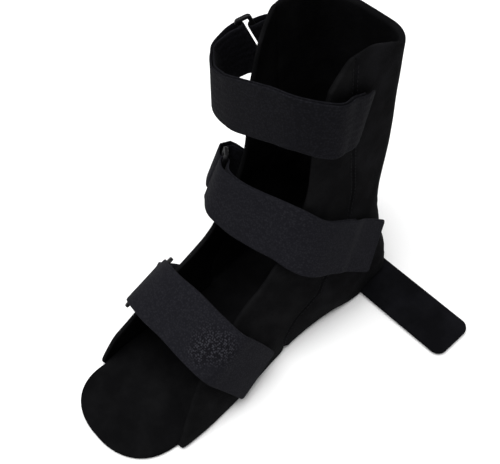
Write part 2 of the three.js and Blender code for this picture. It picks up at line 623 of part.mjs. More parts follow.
// A strap, the ring that it folds through and the tab that holds the ring.
function strapSet(strap) {
  const medial = panelRows(1, strap.medial, strap.medialLean);
  const frontPoints = strap.front.map((row) => new THREE.Vector3(
    row.x * CALF_HALF_WIDTH, heelBackY - row.back * SOLE_LENGTH, row.up * BACK_HEIGHT));
  const line = guide([...medial.points, ...frontPoints], [...medial.across, ...strap.front.map(leanOf)]);
  const barHalf = Math.hypot(RING_BAR, RING_BAR) / 2 + CLEARANCE;
  const strapTurn = barHalf + STRAP_THICKNESS / 2;
  const seam = line.rowLength(rowAtDepth(strap.medial, strap.seam));
  const strapStations = foldedStations(line, seam, line.length, 0, STRAP_THICKNESS, strapTurn);
  add(`${strap.name}_strap`, strip(strapStations, STRAP_WIDTH, STRAP_THICKNESS), webbing);

  const fold = line.atLength(line.length);
  const ringSpan = RING_SLOT + RING_BAR;
  const ring = add(`${strap.name}_ring`, ringGeometry(), ringPlastic);
  ring.quaternion.setFromRotationMatrix(new THREE.Matrix4().makeBasis(fold.across, fold.ahead, fold.out));
  ring.position.copy(fold.point)
    .addScaledVector(fold.out, CLEARANCE + STRAP_THICKNESS + barHalf)
    .addScaledVector(fold.ahead, ringSpan / 2);

  const lateral = panelRows(-1, strap.lateral, strap.lateralLean);
  const tabTurn = barHalf + TAB_THICKNESS / 2;
  const seat = STRAP_THICKNESS - TAB_THICKNESS;
  const leave = (distance) => fold.point.clone()
    .addScaledVector(fold.ahead, distance).addScaledVector(fold.out, seat);
  const tabLine = guide(
    [leave(ringSpan), leave(ringSpan + TAB_LEAD), ...lateral.points],
    [fold.across, fold.across, ...lateral.across]);
  const tabStations = foldedStations(tabLine, tabLine.length, 0, tabLine.length, TAB_THICKNESS, tabTurn);
  add(`${strap.name}_ring_tab`, strip(tabStations, TAB_WIDTH, TAB_THICKNESS), webbing);
}

add('l_panel', centralPanel(), panelCloth);
add('medial_panel', sidePanel(1, 0), sidePanelCloth);
add('lateral_panel', sidePanel(-1, 0), sidePanelCloth);
const bar = add('heel_bar', heelBar(), barCloth);
bar.position.set(0, heelBackY - BAR_BACK, SLEEVE_CLOTH + CLEARANCE);
STRAPS.forEach(strapSet);

export default group;
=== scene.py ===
"""Open walking boot for the right side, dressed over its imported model.

Metres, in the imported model's own frame. +Z is up, the toe end points to -Y and +X is the inner side.
"""

import logging
import math
from dataclasses import dataclass
from enum import Enum
from typing import Callable, NamedTuple, Sequence

import bmesh
import bpy
from mathutils import Matrix, Vector, noise

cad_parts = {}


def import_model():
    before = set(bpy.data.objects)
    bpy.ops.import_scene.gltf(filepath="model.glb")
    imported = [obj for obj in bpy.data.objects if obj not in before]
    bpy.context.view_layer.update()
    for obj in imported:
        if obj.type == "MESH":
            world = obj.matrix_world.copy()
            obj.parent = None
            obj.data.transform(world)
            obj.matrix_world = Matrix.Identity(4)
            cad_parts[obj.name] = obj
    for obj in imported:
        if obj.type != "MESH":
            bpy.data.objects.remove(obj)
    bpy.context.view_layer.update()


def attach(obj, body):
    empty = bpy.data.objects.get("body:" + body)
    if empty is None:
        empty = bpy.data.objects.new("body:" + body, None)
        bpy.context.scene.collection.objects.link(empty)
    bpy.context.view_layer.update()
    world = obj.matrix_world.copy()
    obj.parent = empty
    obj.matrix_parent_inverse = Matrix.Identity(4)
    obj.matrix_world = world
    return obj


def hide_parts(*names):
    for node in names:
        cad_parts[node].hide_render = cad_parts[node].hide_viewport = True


LOG = logging.getLogger("walking_boot")
MM = 0.001
UV_NAME = "cloth"

# Thickness share that is left where a seam pinches a piece, and the rounds of its edge that it takes up
SEWN_SHARE = 0.62
SEWN_REACH = 1.6

# Extra sections beside a piece's end, in parts of a row
BESIDE_END = (0.004, 0.011, 0.022, 0.037)

# Angle between two faces, in radians, past which their edge is a rim
RIM_ANGLE = 1.2

# Start of the even steps across a piece, in parts of the last step close to its edge
INNER_START = 1.5

# Distances under which two places are one, for edges and for merging vertices
TINY = 1e-9
MERGE = 1e-6

Row = list[Vector]
Grid = list[Row]


class Edge(Enum):
    """How a cloth piece ends along one of its sides."""

    TURNED = "rounded over a turned edge"
    SEWN = "pinched down and butted against its neighbour"


class SizeRow(NamedTuple):
    """One U-shaped section of the boot, in shares of the sizes named in BootShape."""

    back: float
    up: float
    edge_back: float
    edge_up: float
    tall: float
    wide: float
    base: float
    middle: float
    edge: float
    corner_x: float
    corner_d: float
    shift: float
    seam: float


class PanelRow(NamedTuple):
    """A place on a side panel that a strap passes."""

    section: float
    depth: float
    lift: float


class FrontRow(NamedTuple):
    """A place in the open front that a strap passes, with the way across it."""

    x: float
    back: float
    up: float
    lean: tuple[float, float, float]


# Half-widths and heights that the rows of the section table are shares of
CALF_WIDE = 38 * MM
HEEL_WIDE = 52 * MM
BALL_WIDE = 53 * MM
BACK_TALL = 232 * MM
INSTEP_TALL = 96 * MM

SECTIONS = (
    SizeRow(-0.068, 1.0, 0.214, 1.004, BACK_TALL, CALF_WIDE, 1.0, 1.0, 0.9, 0.63, 0.63, -0.105, 0.77),
    SizeRow(-0.055, 0.819, 0.264, 0.819, BACK_TALL, CALF_WIDE, 1.0, 1.01, 0.9, 0.63, 0.63, -0.105, 0.65),
    SizeRow(-0.045, 0.647, 0.286, 0.647, BACK_TALL, CALF_WIDE, 1.0, 1.02, 0.9, 0.63, 0.63, -0.105, 0.59),
    SizeRow(-0.024, 0.496, 0.329, 0.526, BACK_TALL, CALF_WIDE, 1.0, 1.05, 0.9, 0.65, 0.6, -0.1, 0.51),
    SizeRow(-0.008, 0.854, 0.371, 1.135, INSTEP_TALL, HEEL_WIDE, 0.82, 0.86, 0.66, 0.66, 0.66, -0.05, 0.54),
    SizeRow(-0.003, 0.573, 0.404, 1.057, INSTEP_TALL, HEEL_WIDE, 0.93, 0.9, 0.65, 0.76, 0.74, -0.03, 0.59),
    SizeRow(0.0, 0.292, 0.432, 1.0, INSTEP_TALL, HEEL_WIDE, 1.0, 0.93, 0.64, 0.74, 0.6, -0.01, 0.63),
    SizeRow(0.011, 0.062, 0.457, 0.953, INSTEP_TALL, HEEL_WIDE, 0.98, 0.94, 0.64, 0.66, 0.42, 0.0, 0.65),
    SizeRow(0.064, 0.0, 0.482, 0.906, INSTEP_TALL, HEEL_WIDE, 0.95, 0.97, 0.64, 0.25, 0.2, 0.0, 0.62),
    SizeRow(0.161, 0.0, 0.511, 0.87, INSTEP_TALL, HEEL_WIDE, 0.985, 0.95, 0.64, 0.15, 0.15, 0.0, 0.58),
    SizeRow(0.268, 0.0, 0.55, 0.818, INSTEP_TALL, BALL_WIDE, 0.875, 0.88, 0.64, 0.15, 0.15, 0.0, 0.5),
    SizeRow(0.375, 0.0, 0.6, 0.74, INSTEP_TALL, BALL_WIDE, 0.84, 0.865, 0.68, 0.15, 0.15, 0.0, 0.33),
    SizeRow(0.468, 0.0, 0.65, 0.656, INSTEP_TALL, BALL_WIDE, 0.86, 0.885, 0.72, 0.1, 0.1, 0.0, 0.01),
    SizeRow(0.571, 0.0, 0.7, 0.568, INSTEP_TALL, BALL_WIDE, 0.925, 0.925, 0.75, 0.06, 0.06, 0.0, 0.01),
    SizeRow(0.679, 0.0, 0.754, 0.437, INSTEP_TALL, BALL_WIDE, 0.98, 0.96, 0.81, 0.06, 0.06, 0.0, 0.015),
    SizeRow(0.768, 0.0, 0.8, 0.292, INSTEP_TALL, BALL_WIDE, 1.0, 0.98, 0.89, 0.06, 0.06, 0.0, 0.02),
    SizeRow(0.829, 0.0, 0.839, 0.125, INSTEP_TALL, BALL_WIDE, 0.987, 0.98, 0.945, 0.06, 0.06, 0.0, 0.05),
    SizeRow(0.85, 0.0, 0.855, 0.06, INSTEP_TALL, BALL_WIDE, 0.97, 0.965, 0.95, 0.05, 0.04, 0.0, 0.1),
)
LAST_ROW = len(SECTIONS) - 1

# Last row at which the central panel still has walls, and the row at the heel's lower corner
LAST_WALL_ROW = 12
HEEL_CORNER_ROW = 7

# Height share of the raised top edge at each share of the depth
EAR_DEPTH = (0.00, 0.15, 0.38, 0.62, 0.78, 0.90, 1.00)
EAR_RISE = (0.00, 0.10, 0.60, 1.00, 0.97, 0.55, 0.00)


def linear(hex_colour: str) -> tuple[float, float, float, float]:
    """Turns an sRGB hex colour into linear light.

    Args:
        hex_colour: six hex digits.

    Returns:
        Red, green, blue and an alpha of one.
    """
    parts = [int(hex_colour[i:i + 2], 16) / 255 for i in (0, 2, 4)]
    turned = [c / 12.92 if c <= 0.04045 else ((c + 0.055) / 1.055) ** 2.4 for c in parts]
    return (*turned, 1.0)


def add_node(tree: bpy.types.NodeTree, kind: str, settings: dict, links: dict) -> bpy.types.Node:
    """Adds a node with its settings and the links into it.

    Args:
        tree: the material's node tree.
        kind: the node's type name.
        settings: attribute names or input names with their values.
        links: input names with the output sockets that feed them.

    Returns:
        The new node.
    """
    node = tree.nodes.new(kind)
    for name, value in settings.items():
        if isinstance(name, str) and hasattr(node, name):
            setattr(node, name, value)
        else:
            node.inputs[name].default_value = value
    for name, socket in links.items():
        tree.links.new(socket, node.inputs[name])
    return node


@dataclass(frozen=True)
class Finish:
    """What every finish starts from."""

    name: str
    colour: str
    roughness: float = 0.8
    specular: float = 0.5

    def start(self) -> tuple[bpy.types.Material, bpy.types.NodeTree, bpy.types.Node, bpy.types.NodeSocket]:
        """Makes a node material with its plain values.

        Returns:
            The material, its tree, its shader and the Object coordinates.
        """
        material = bpy.data.materials.new(self.name)
        material.use_nodes = True
        tree = material.node_tree
        shader = tree.nodes["Principled BSDF"]
        shader.inputs["Base Color"].default_value = linear(self.colour)
        shader.inputs["Roughness"].default_value = self.roughness
        shader.inputs["Specular IOR Level"].default_value = self.specular
        place = add_node(tree, "ShaderNodeTexCoord", {}, {})
        return material, tree, shader, place.outputs["Object"]


@dataclass(frozen=True)
class LaminatedCloth(Finish):
    """Nylon-faced foam cloth, heat laminated: a dead matt black with a fine knit and soft cloudy wear.

    The knit is drawn 1.2 mm wide, about twice the real one, so that it shows in the render.
    """

    name: str = "laminated_cloth"
    colour: str = "0c0c0d"
    worn: str = "161618"
    roughness: float = 0.95
    specular: float = 0.015
    knit: float = 1.2 * MM
    cloud: float = 24 * MM
    grain: float = 3 * MM
    relief: float = 0.5 * MM

    def make(self) -> bpy.types.Material:
        """Builds the node material."""
        material, tree, shader, place = self.start()
        flat = add_node(tree, "ShaderNodeUVMap", {"uv_map": UV_NAME}, {})
        clouds = add_node(tree, "ShaderNodeTexNoise",
                          {"Scale": 1 / self.cloud, "Detail": 5.0, "Roughness": 0.6}, {"Vector": place})
        tone = add_node(tree, "ShaderNodeMapRange",
                        {"From Min": 0.42, "From Max": 0.72}, {"Value": clouds.outputs["Fac"]})
        colour = add_node(tree, "ShaderNodeMix",
                          {"data_type": "RGBA", 6: linear(self.colour), 7: linear(self.worn)},
                          {"Factor": tone.outputs["Result"]})
        tree.links.new(colour.outputs[2], shader.inputs["Base Color"])
        threads = add_node(tree, "ShaderNodeTexVoronoi", {"Scale": 1 / self.knit, "Randomness": 0.35},
                           {"Vector": flat.outputs["UV"]})
        grain = add_node(tree, "ShaderNodeTexNoise", {"Scale": 1 / self.grain, "Detail": 4.0},
                         {"Vector": place})
        both = add_node(tree, "ShaderNodeMath", {"operation": "ADD"},
                        {0: threads.outputs["Distance"], 1: grain.outputs["Fac"]})
        bump = add_node(tree, "ShaderNodeBump", {"Strength": 0.6, "Distance": self.relief},
                        {"Height": both.outputs["Value"]})
        tree.links.new(bump.outputs["Normal"], shader.inputs["Normal"])
        return material


@dataclass(frozen=True)
class LoopWebbing(Finish):
    """Nylon loop tape: woven, then napped into short loops, so it is grey-black and matt.

    The loops stand 1.5 mm apart, about twice the real spacing, so that they show in the render. Where the
    foot strap has been pulled open often, its loops stand up; there the loop tops are painted lighter, a
    painted highlight, and the gaps between them painted darker, painted shade.
    """

    name: str = "loop_webbing"
    colour: str = "151519"
    tip: str = "212125"
    roughness: float = 0.9
    specular: float = 0.02
    sheen: float = 0.01
    loop: float = 1.5 * MM
    rib: float = 3.0 * MM
    cloud: float = 16 * MM
    relief: float = 0.4 * MM
    lifted_at: Vector = Vector((0.036, -0.044, 0.073))
    lifted_reach: float = 26 * MM
    lifted_ragged: float = 16 * MM
    # Painted shade between the raised loops and a painted highlight on their tops, near lifted_at
    lifted_gap_shade: str = "101013"
    lifted_tip_highlight: str = "2f2f34"

    def make(self) -> bpy.types.Material:
        """Builds the node material."""
        material, tree, shader, place = self.start()
        flat = add_node(tree, "ShaderNodeUVMap", {"uv_map": UV_NAME}, {})
        loops = add_node(tree, "ShaderNodeTexVoronoi", {"Scale": 1 / self.loop, "Randomness": 0.7},
                         {"Vector": flat.outputs["UV"]})
        ribs = add_node(tree, "ShaderNodeTexWave",
                        {"Scale": 1 / self.rib / (2 * math.pi), "Distortion": 1.5, "bands_direction": "X"},
                        {"Vector": flat.outputs["UV"]})
        patches = add_node(tree, "ShaderNodeTexNoise", {"Scale": 1 / self.cloud, "Detail": 4.0},
                           {"Vector": place})
        height = add_node(tree, "ShaderNodeMath", {"operation": "MULTIPLY_ADD", 1: -1.4},
                          {0: loops.outputs["Distance"], 2: ribs.outputs["Fac"]})
        tone = add_node(tree, "ShaderNodeMath", {"operation": "MULTIPLY_ADD", 1: 0.22},
                        {0: patches.outputs["Fac"], 2: loops.outputs["Distance"]})
        tips = add_node(tree, "ShaderNodeMapRange",
                        {"From Min": 0.15, "From Max": 0.72, "To Min": 1.0, "To Max": 0.0},
                        {"Value": tone.outputs["Value"]})
        colour = add_node(tree, "ShaderNodeMix",
                          {"data_type": "RGBA", 6: linear(self.colour), 7: linear(self.tip)},
                          {"Factor": tips.outputs["Result"]})
        apart = add_node(tree, "ShaderNodeVectorMath", {"operation": "DISTANCE", 1: self.lifted_at},
                         {0: place})
        ragged = add_node(tree, "ShaderNodeMath", {"operation": "MULTIPLY_ADD", 1: self.lifted_ragged},
                          {0: patches.outputs["Fac"], 2: apart.outputs["Value"]})
        zone = add_node(tree, "ShaderNodeMapRange",
                        {"From Min": self.lifted_reach, "From Max": self.lifted_reach * 0.7},
                        {"Value": ragged.outputs["Value"]})
        # Painted highlight on the loop tops and painted shade in the gaps of the raised pile
        peaks = add_node(tree, "ShaderNodeMapRange",
                         {"From Min": 0.22, "From Max": 0.58, "To Min": 1.0, "To Max": 0.0},
                         {"Value": loops.outputs["Distance"]})
        pile_highlight_and_shade = add_node(tree, "ShaderNodeMix",
                        {"data_type": "RGBA", 6: linear(self.lifted_gap_shade), 7: linear(self.lifted_tip_highlight)},
                        {"Factor": peaks.outputs["Result"]})
        lifted = add_node(tree, "ShaderNodeMix", {"data_type": "RGBA"},
                          {"Factor": zone.outputs["Result"], 6: colour.outputs[2], 7: pile_highlight_and_shade.outputs[2]})
        tree.links.new(lifted.outputs[2], shader.inputs["Base Color"])
        bump = add_node(tree, "ShaderNodeBump", {"Strength": 0.5, "Distance": self.relief},
                        {"Height": height.outputs["Value"]})
        tree.links.new(bump.outputs["Normal"], shader.inputs["Normal"])
        shader.inputs["Sheen Weight"].default_value = self.sheen
        return material


@dataclass(frozen=True)
class MouldedPlastic(Finish):
    """Injection-moulded acetal: near black, satin, with a faint moulded grain."""

    name: str = "moulded_acetal"
    colour: str = "0a0a0c"
    roughness: float = 0.48
    specular: float = 0.2
    ior: float = 1.48
    grain: float = 0.7 * MM

    def make(self) -> bpy.types.Material:
        """Builds the node material."""
        material, tree, shader, place = self.start()
        grain = add_node(tree, "ShaderNodeTexNoise", {"Scale": 1 / self.grain, "Detail": 3.0},
                         {"Vector": place})
        rough = add_node(tree, "ShaderNodeMapRange",
                         {"To Min": self.roughness - 0.06, "To Max": self.roughness + 0.1},
                         {"Value": grain.outputs["Fac"]})
        tree.links.new(rough.outputs["Result"], shader.inputs["Roughness"])
        bump = add_node(tree, "ShaderNodeBump", {"Strength": 0.25, "Distance": 0.05 * MM},
                        {"Height": grain.outputs["Fac"]})
        tree.links.new(bump.outputs["Normal"], shader.inputs["Normal"])
        shader.inputs["IOR"].default_value = self.ior
        return material


@dataclass(frozen=True)
class SewingThread(Finish):
    """Bonded nylon thread: twisted, so it is faintly ribbed and a little brighter than the cloth."""

    name: str = "bonded_thread"
    colour: str = "111113"
    specular: float = 0.08
    twist: float = 0.5 * MM

    def make(self) -> bpy.types.Material:
        """Builds the node material."""
        material, tree, shader, place = self.start()
        twist = add_node(tree, "ShaderNodeTexNoise", {"Scale": 1 / self.twist, "Detail": 2.0},
                         {"Vector": place})
        bump = add_node(tree, "ShaderNodeBump", {"Strength": 0.4, "Distance": 0.08 * MM},
                        {"Height": twist.outputs["Fac"]})
        tree.links.new(bump.outputs["Normal"], shader.inputs["Normal"])
        return material


@dataclass(frozen=True)
class PaleFloor(Finish):
    """Painted studio floor: even, pale and matt, with a trace of roller texture."""

    name: str = "pale_floor"
    colour: str = "f7f7f7"
    roller: float = 4 * MM

    def make(self) -> bpy.types.Material:
        """Builds the node material."""
        material, tree, shader, place = self.start()
        roller = add_node(tree, "ShaderNodeTexNoise", {"Scale": 1 / self.roller, "Detail": 2.0},
                          {"Vector": place})
        bump = add_node(tree, "ShaderNodeBump", {"Strength": 0.05, "Distance": 0.1 * MM},
                        {"Height": roller.outputs["Fac"]})
        tree.links.new(bump.outputs["Normal"], shader.inputs["Normal"])
        return material


def monotone(values: Sequence[float], position: float) -> float:
    """Joins the rows of one column smoothly, without rising past any row.

    Args:
        values: the column.
        position: row number, with its fraction.

    Returns:
        The column's value there.
    """
    last = len(values) - 1
    left = min(max(math.floor(position), 0), last - 1)
    t = min(max(position - left, 0.0), 1.0)

    def rise(i: int) -> float:
        """Change from one row to the next."""
        return values[i + 1] - values[i]

    def slope(i: int) -> float:
        """Slope at a row."""
        if i == 0:
            return rise(0)
        if i == last:
            return rise(last - 1)
        before, after = rise(i - 1), rise(i)
        return 0.0 if before * after <= 0 else 2 * before * after / (before + after)

    t2, t3 = t * t, t * t * t
    return (values[left] * (2 * t3 - 3 * t2 + 1) + slope(left) * (t3 - 2 * t2 + t)
            + values[left + 1] * (3 * t2 - 2 * t3) + slope(left + 1) * (t3 - t2))


def ear_rise(share: float) -> float:
    """Height share of the raised top edge at a share of the depth."""
    last = len(EAR_DEPTH) - 1
    for i in range(last):
        if share <= EAR_DEPTH[i + 1]:
            part = max(share - EAR_DEPTH[i], 0.0) / (EAR_DEPTH[i + 1] - EAR_DEPTH[i])
            return monotone(EAR_RISE, i + part)
    return monotone(EAR_RISE, last)


def smooth_step(share: float) -> float:
    """Eases a share from nought to one."""
    held = min(max(share, 0.0), 1.0)
    return held * held * (3 - 2 * held)


@dataclass(frozen=True)
class Section:
    """One section of the boot in real sizes."""

    bottom: Vector
    inward: Vector
    depth: float
    base: float
    middle: float
    edge: float
    corner_x: float
    corner_d: float
    shift: float
    seam: float
    pad: float
    ear: float

    def wall(self, depth: float) -> float:
        """Half-width of the outer face at a depth past the corner."""
        q = (depth - self.corner_d) / (self.depth - self.corner_d)
        ends = self.base * (1 - q) * (1 - 2 * q) + self.edge * q * (2 * q - 1)
        return ends + self.middle * 4 * q * (1 - q)

    def outer(self, depth: float) -> float:
        """Half-width of the outer face at any depth."""
        if depth >= self.corner_d:
            return self.wall(depth)
        rest = 1 - max(depth, 0.0) / self.corner_d
        return self.base - self.corner_x * (1 - math.sqrt(max(1 - rest * rest, 0.0)))

    def place(self, x: float, depth: float) -> Vector:
        """Turns a half-width and a depth into a point of the boot."""
        ear = self.ear * ear_rise(depth / self.depth)
        return Vector((self.shift + x, self.bottom.x + self.inward.x * depth,
                       self.bottom.y + self.inward.y * depth + ear))


@dataclass(frozen=True)
class BootShape:
    """The boot's shape: a chain of U-shaped sections round calf, heel and sole."""

    sole_length: float = 280 * MM
    back_height: float = BACK_TALL
    calf_half_width: float = CALF_WIDE
    ear_height: float = 21 * MM
    clearance: float = 0.3 * MM
    side_wall: float = 4.2 * MM
    calf_pad: float = 6 * MM
    sole_pad: float = 9 * MM
    toe_pad: float = 6 * MM
    turned_edge: float = 0.5 * MM

    @property
    def heel_y(self) -> float:
        """Place of the heel's back."""
        return self.sole_length / 2

    def section(self, position: float) -> Section:
        """Works out a section at any place between two rows.

        Args:
            position: row number, with its fraction.

        Returns:
            The section in real sizes.
        """
        def column(read: Callable[[SizeRow], float]) -> float:
            """Reads one column at this place."""
            return monotone([read(row) for row in SECTIONS], position)

        bottom = Vector((self.heel_y - column(lambda r: r.back) * self.sole_length,
                         column(lambda r: r.up * r.tall)))
        end = Vector((self.heel_y - column(lambda r: r.edge_back) * self.sole_length,
                      column(lambda r: r.edge_up * r.tall)))
        inward = end - bottom
        depth = inward.length
        inward = inward / depth
        along = min(max(position / HEEL_CORNER_ROW, 0.0), 1.0)
        pad = (self.calf_pad + (self.sole_pad - self.calf_pad) * along) / max(abs(inward.x), abs(inward.y))
        return Section(
            bottom=bottom, inward=inward, depth=depth,
            base=column(lambda r: r.base * r.wide), middle=column(lambda r: r.middle * r.wide),
            edge=column(lambda r: r.edge * r.wide), corner_x=column(lambda r: r.corner_x * r.wide),
            corner_d=column(lambda r: r.corner_d * r.wide), shift=column(lambda r: r.shift * r.wide),
            seam=column(lambda r: r.seam) * depth, pad=pad, ear=self.ear_height * max(1 - position, 0.0))

    def outer_face(self, side: int, position: float, depth_of: Callable[[Section], float],
                   ahead: float) -> tuple[Vector, Vector]:
        """A place on the outer face of a side, with the direction out of it.

        Args:
            side: 1 for the inner side of the boot, -1 for the outer.
            position: row number, with its fraction.
            depth_of: reads the depth from a section.
            ahead: distance, in rows, to the section that gives the face's slope.

        Returns:
            The place and the direction.
        """
        section, beyond = self.section(position), self.section(position + ahead)
        depth, far = depth_of(section), depth_of(beyond)
        point = section.place(side * section.outer(depth), depth)
        deeper = section.place(side * section.outer(depth + MM), depth + MM) - point
        along = beyond.place(side * beyond.outer(far), far) - point
        out = deeper.cross(along).normalized()
        return point, -out if out.x * side < 0 else out


def fine_positions(first: float, last: float, per_row: int, starts: bool, ends: bool) -> list[float]:
    """Section positions, set closer together where a piece ends.

    Args:
        first: first position.
        last: last position.
        per_row: steps between two rows.
        starts: true if the piece has its edge at the first position.
        ends: true if the piece has its edge at the last position.

    Returns:
        The positions in order.
    """
    count = max(round((last - first) * per_row), 1)
    found = [first + (last - first) * i / count for i in range(count + 1)]
    if starts:
        found += [first + step for step in BESIDE_END]
    if ends:
        found += [last - 2 * step for step in BESIDE_END]
    return sorted(found)


def across_shares(count: int, both: bool, close: Sequence[float]) -> list[float]:
    """Shares from edge to edge of a piece, set closer together at its edges.

    Args:
        count: steps between the edges.
        both: true for shares from -1 to 1, false for 0 to 1.
        close: distances from an edge, as shares, of the extra steps.

    Returns:
        The shares in order.
    """
    low = -1.0 if both else 0.0
    inset = close[-1] * INNER_START
    inner = [low + inset + (1 - low - 2 * inset) * i / count for i in range(count + 1)]
    return [low, *[low + c for c in close], *inner, *[1 - c for c in reversed(close)], 1.0]


def edge_share(distance: float, radius: float, edge: Edge) -> float:
    """Share of the full thickness that a piece keeps near its edge.

    Args:
        distance: distance from the edge.
        radius: distance over which the edge rounds off.
        edge: how the piece ends there.

    Returns:
        A share from nought to one.
    """
    if distance <= TINY:
        return 0.0
    if edge is Edge.SEWN:
        return SEWN_SHARE + (1 - SEWN_SHARE) * smooth_step(distance / (SEWN_REACH * radius))
    rest = max(1 - distance / radius, 0.0)
    return math.sqrt(1 - rest * rest)


def travelled(points: Sequence[Vector]) -> list[float]:
    """Length travelled along a polyline at each of its points."""
    lengths = [0.0]
    for before, after in zip(points, points[1:]):
        lengths.append(lengths[-1] + (after - before).length)
    return lengths


def spread(points: list[Vector], shares: Sequence[float]) -> list[Vector]:
    """Places points along a polyline.

    Args:
        points: the polyline.
        shares: shares of its length, rising.

    Returns:
        One point for each share.
    """
    lengths = travelled(points)
    result = []
    i = 1
    for share in shares:
        want = lengths[-1] * share
        while i < len(points) - 1 and lengths[i] < want:
            i += 1
        t = (want - lengths[i - 1]) / max(lengths[i] - lengths[i - 1], TINY)
        result.append(points[i - 1].lerp(points[i], min(max(t, 0.0), 1.0)))
    return result


def cloth_layer(bm: bmesh.types.BMesh) -> bmesh.types.BMLayerItem:
    """The mesh's layer of cloth coordinates, made at the first call."""
    return bm.loops.layers.uv.get(UV_NAME) or bm.loops.layers.uv.new(UV_NAME)


def lay_grid(bm: bmesh.types.BMesh, points: Grid, flat: Grid, material: int) -> None:
    """Adds a grid whose vertices lie on rows of points.

    Args:
        bm: the mesh to add to.
        points: rows of places.
        flat: rows of cloth coordinates in metres.
        material: material slot number of its faces.
    """
    layer = cloth_layer(bm)
    rows, columns = len(points), len(points[0])
    made = bmesh.ops.create_grid(bm, x_segments=columns - 1, y_segments=rows - 1, size=0.5)["verts"]
    where = {}
    for vertex in made:
        j = round((vertex.co.x + 0.5) * (columns - 1))
        i = round((vertex.co.y + 0.5) * (rows - 1))
        where[vertex] = flat[i][j]
        vertex.co = points[i][j]
    for face in {face for vertex in made for face in vertex.link_faces}:
        face.material_index = material
        for loop in face.loops:
            loop[layer].uv = where[loop.vert].xy


def round_rims(bm: bmesh.types.BMesh, radius: float, segments: int) -> None:
    """Bevels every sharp edge of a closed mesh."""
    rims = [e for e in bm.edges if len(e.link_faces) == 2 and e.calc_face_angle(0) > RIM_ANGLE]
    bmesh.ops.bevel(bm, geom=rims, offset=radius, offset_type="OFFSET", segments=segments, profile=0.5,
                    affect="EDGES", material=-1)


def finish_mesh(name: str, bm: bmesh.types.BMesh,
                materials: Sequence[bpy.types.Material]) -> bpy.types.Object:
    """Turns a bmesh into an object with smooth shading and its faces pointing out.

    Args:
        name: the object's name.
        bm: the mesh, which is freed.
        materials: its material slots.

    Returns:
        The object, at the origin.
    """
    bmesh.ops.remove_doubles(bm, verts=bm.verts, dist=MERGE)
    bmesh.ops.dissolve_degenerate(bm, dist=MERGE / 10, edges=bm.edges)
    bmesh.ops.recalc_face_normals(bm, faces=bm.faces)
    for face in bm.faces:
        face.smooth = True
    mesh = bpy.data.meshes.new(name)
    bm.to_mesh(mesh)
    bm.free()
    for material in materials:
        mesh.materials.append(material)
    made = bpy.data.objects.new(name, mesh)
    bpy.context.scene.collection.objects.link(made)
    return made


def cloth_body(outer: Grid, inner: Grid, share: Callable[[int, int], float],
               relief: Callable[[Vector, Vector], float]) -> tuple[Grid, Grid]:
    """Thins a piece towards its edges and gives its faces their relief.

    Args:
        outer: rows of points of the outer face.
        inner: the same rows on the inner face.
        share: share of the full thickness at a row and column.
        relief: height to add to a face at a point, along the direction out of it.

    Returns:
        The two faces, which meet at the edges.
    """
    new_outer, new_inner = [], []
    for i, (out_row, in_row) in enumerate(zip(outer, inner)):
        out_points, in_points = [], []
        for j, (a, b) in enumerate(zip(out_row, in_row)):
            middle, half = (a + b) / 2, (a - b) / 2
            kept = share(i, j)
            out = half.normalized()
            out_points.append(middle + half * kept + out * relief(a, out) * kept)
            in_points.append(middle - half * kept - out * relief(b, -out) * kept)
        new_outer.append(out_points)
        new_inner.append(in_points)
    return new_outer, new_inner


def cloth_coordinates(points: Grid) -> Grid:
    """Cloth coordinates in metres: along the rows' middles and across each row.

    Args:
        points: rows of places.

    Returns:
        Rows of flat coordinates, across in x and along in y.
    """
    middle = len(points[0]) // 2
    flat = []
    for row, along in zip(points, travelled([row[middle] for row in points])):
        across = travelled(row)
        flat.append([Vector((x - across[middle], along, 0.0)) for x in across])
    return flat


def closed_cloth(name: str, outer: Grid, inner: Grid,
                 materials: Sequence[bpy.types.Material]) -> bpy.types.Object:
    """Makes a closed piece from its two faces, which meet at the edges.

    Args:
        name: the object's name.
        outer: rows of points of the outer face.
        inner: the same rows on the inner face.
        materials: one for the outer face and one for the inner.

    Returns:
        The object.
    """
    bm = bmesh.new()
    flat = cloth_coordinates(outer)
    lay_grid(bm, outer, flat, 0)
    lay_grid(bm, inner, flat, len(materials) - 1)
    return finish_mesh(name, bm, materials)


def soft_waves(scale: float, seed: float) -> Callable[[Vector], float]:
    """A smooth random height, the same on each run.

    Args:
        scale: size of a wave in metres.
        seed: moves the pattern.

    Returns:
        A function from a place to a height between about -1 and 1.
    """
    offset = Vector((seed * 7.3, seed * 3.1, seed * 5.7))
    return lambda point: noise.noise(point / scale + offset)


@dataclass
class PanelRelief:
    """Relief of the padded panels: soft unevenness all over, and short, flat-lying creases near one place.

    The faces that look down stay flat, because the boot rests on them.
    """

    creased_at: Vector
    unevenness: float = 0.35 * MM
    wave: float = 26 * MM
    crease: float = 0.8 * MM
    crease_wave: float = 17 * MM
    crease_across: float = 0.35
    crease_up: float = 1.6
    crease_slant: float = 0.5
    reach: float = 60 * MM
    underside: float = -0.7
    seed: float = 1.0

    def height(self, point: Vector, out: Vector) -> float:
        """Height at a point of a face that looks out along a direction."""
        if out.z < self.underside:
            return 0.0
        broad = soft_waves(self.wave, self.seed)(point)
        near = max(1 - (point - self.creased_at).length / self.reach, 0.0)
        slanted = point.z * self.crease_up + point.y * self.crease_slant
        folded = Vector((point.x * self.crease_across, point.y, slanted))
        ridge = 1 - 2 * abs(soft_waves(self.crease_wave, self.seed + 4)(folded))
        return self.unevenness * broad + self.crease * near * (ridge - 0.5)


class Piece:
    """Common steps of every piece of the boot."""

    @staticmethod
    def settle(made: bpy.types.Object, slot: str, nodes: Sequence[str] = ()) -> None:
        """Hangs a piece on the frame.

        Args:
            made: the object.
            slot: not used.
            nodes: model nodes that it stands for.
        """
        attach(made, "root")
        if nodes:
            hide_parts(*nodes)
        LOG.info("built %s, %d faces", made.name, len(made.data.polygons))


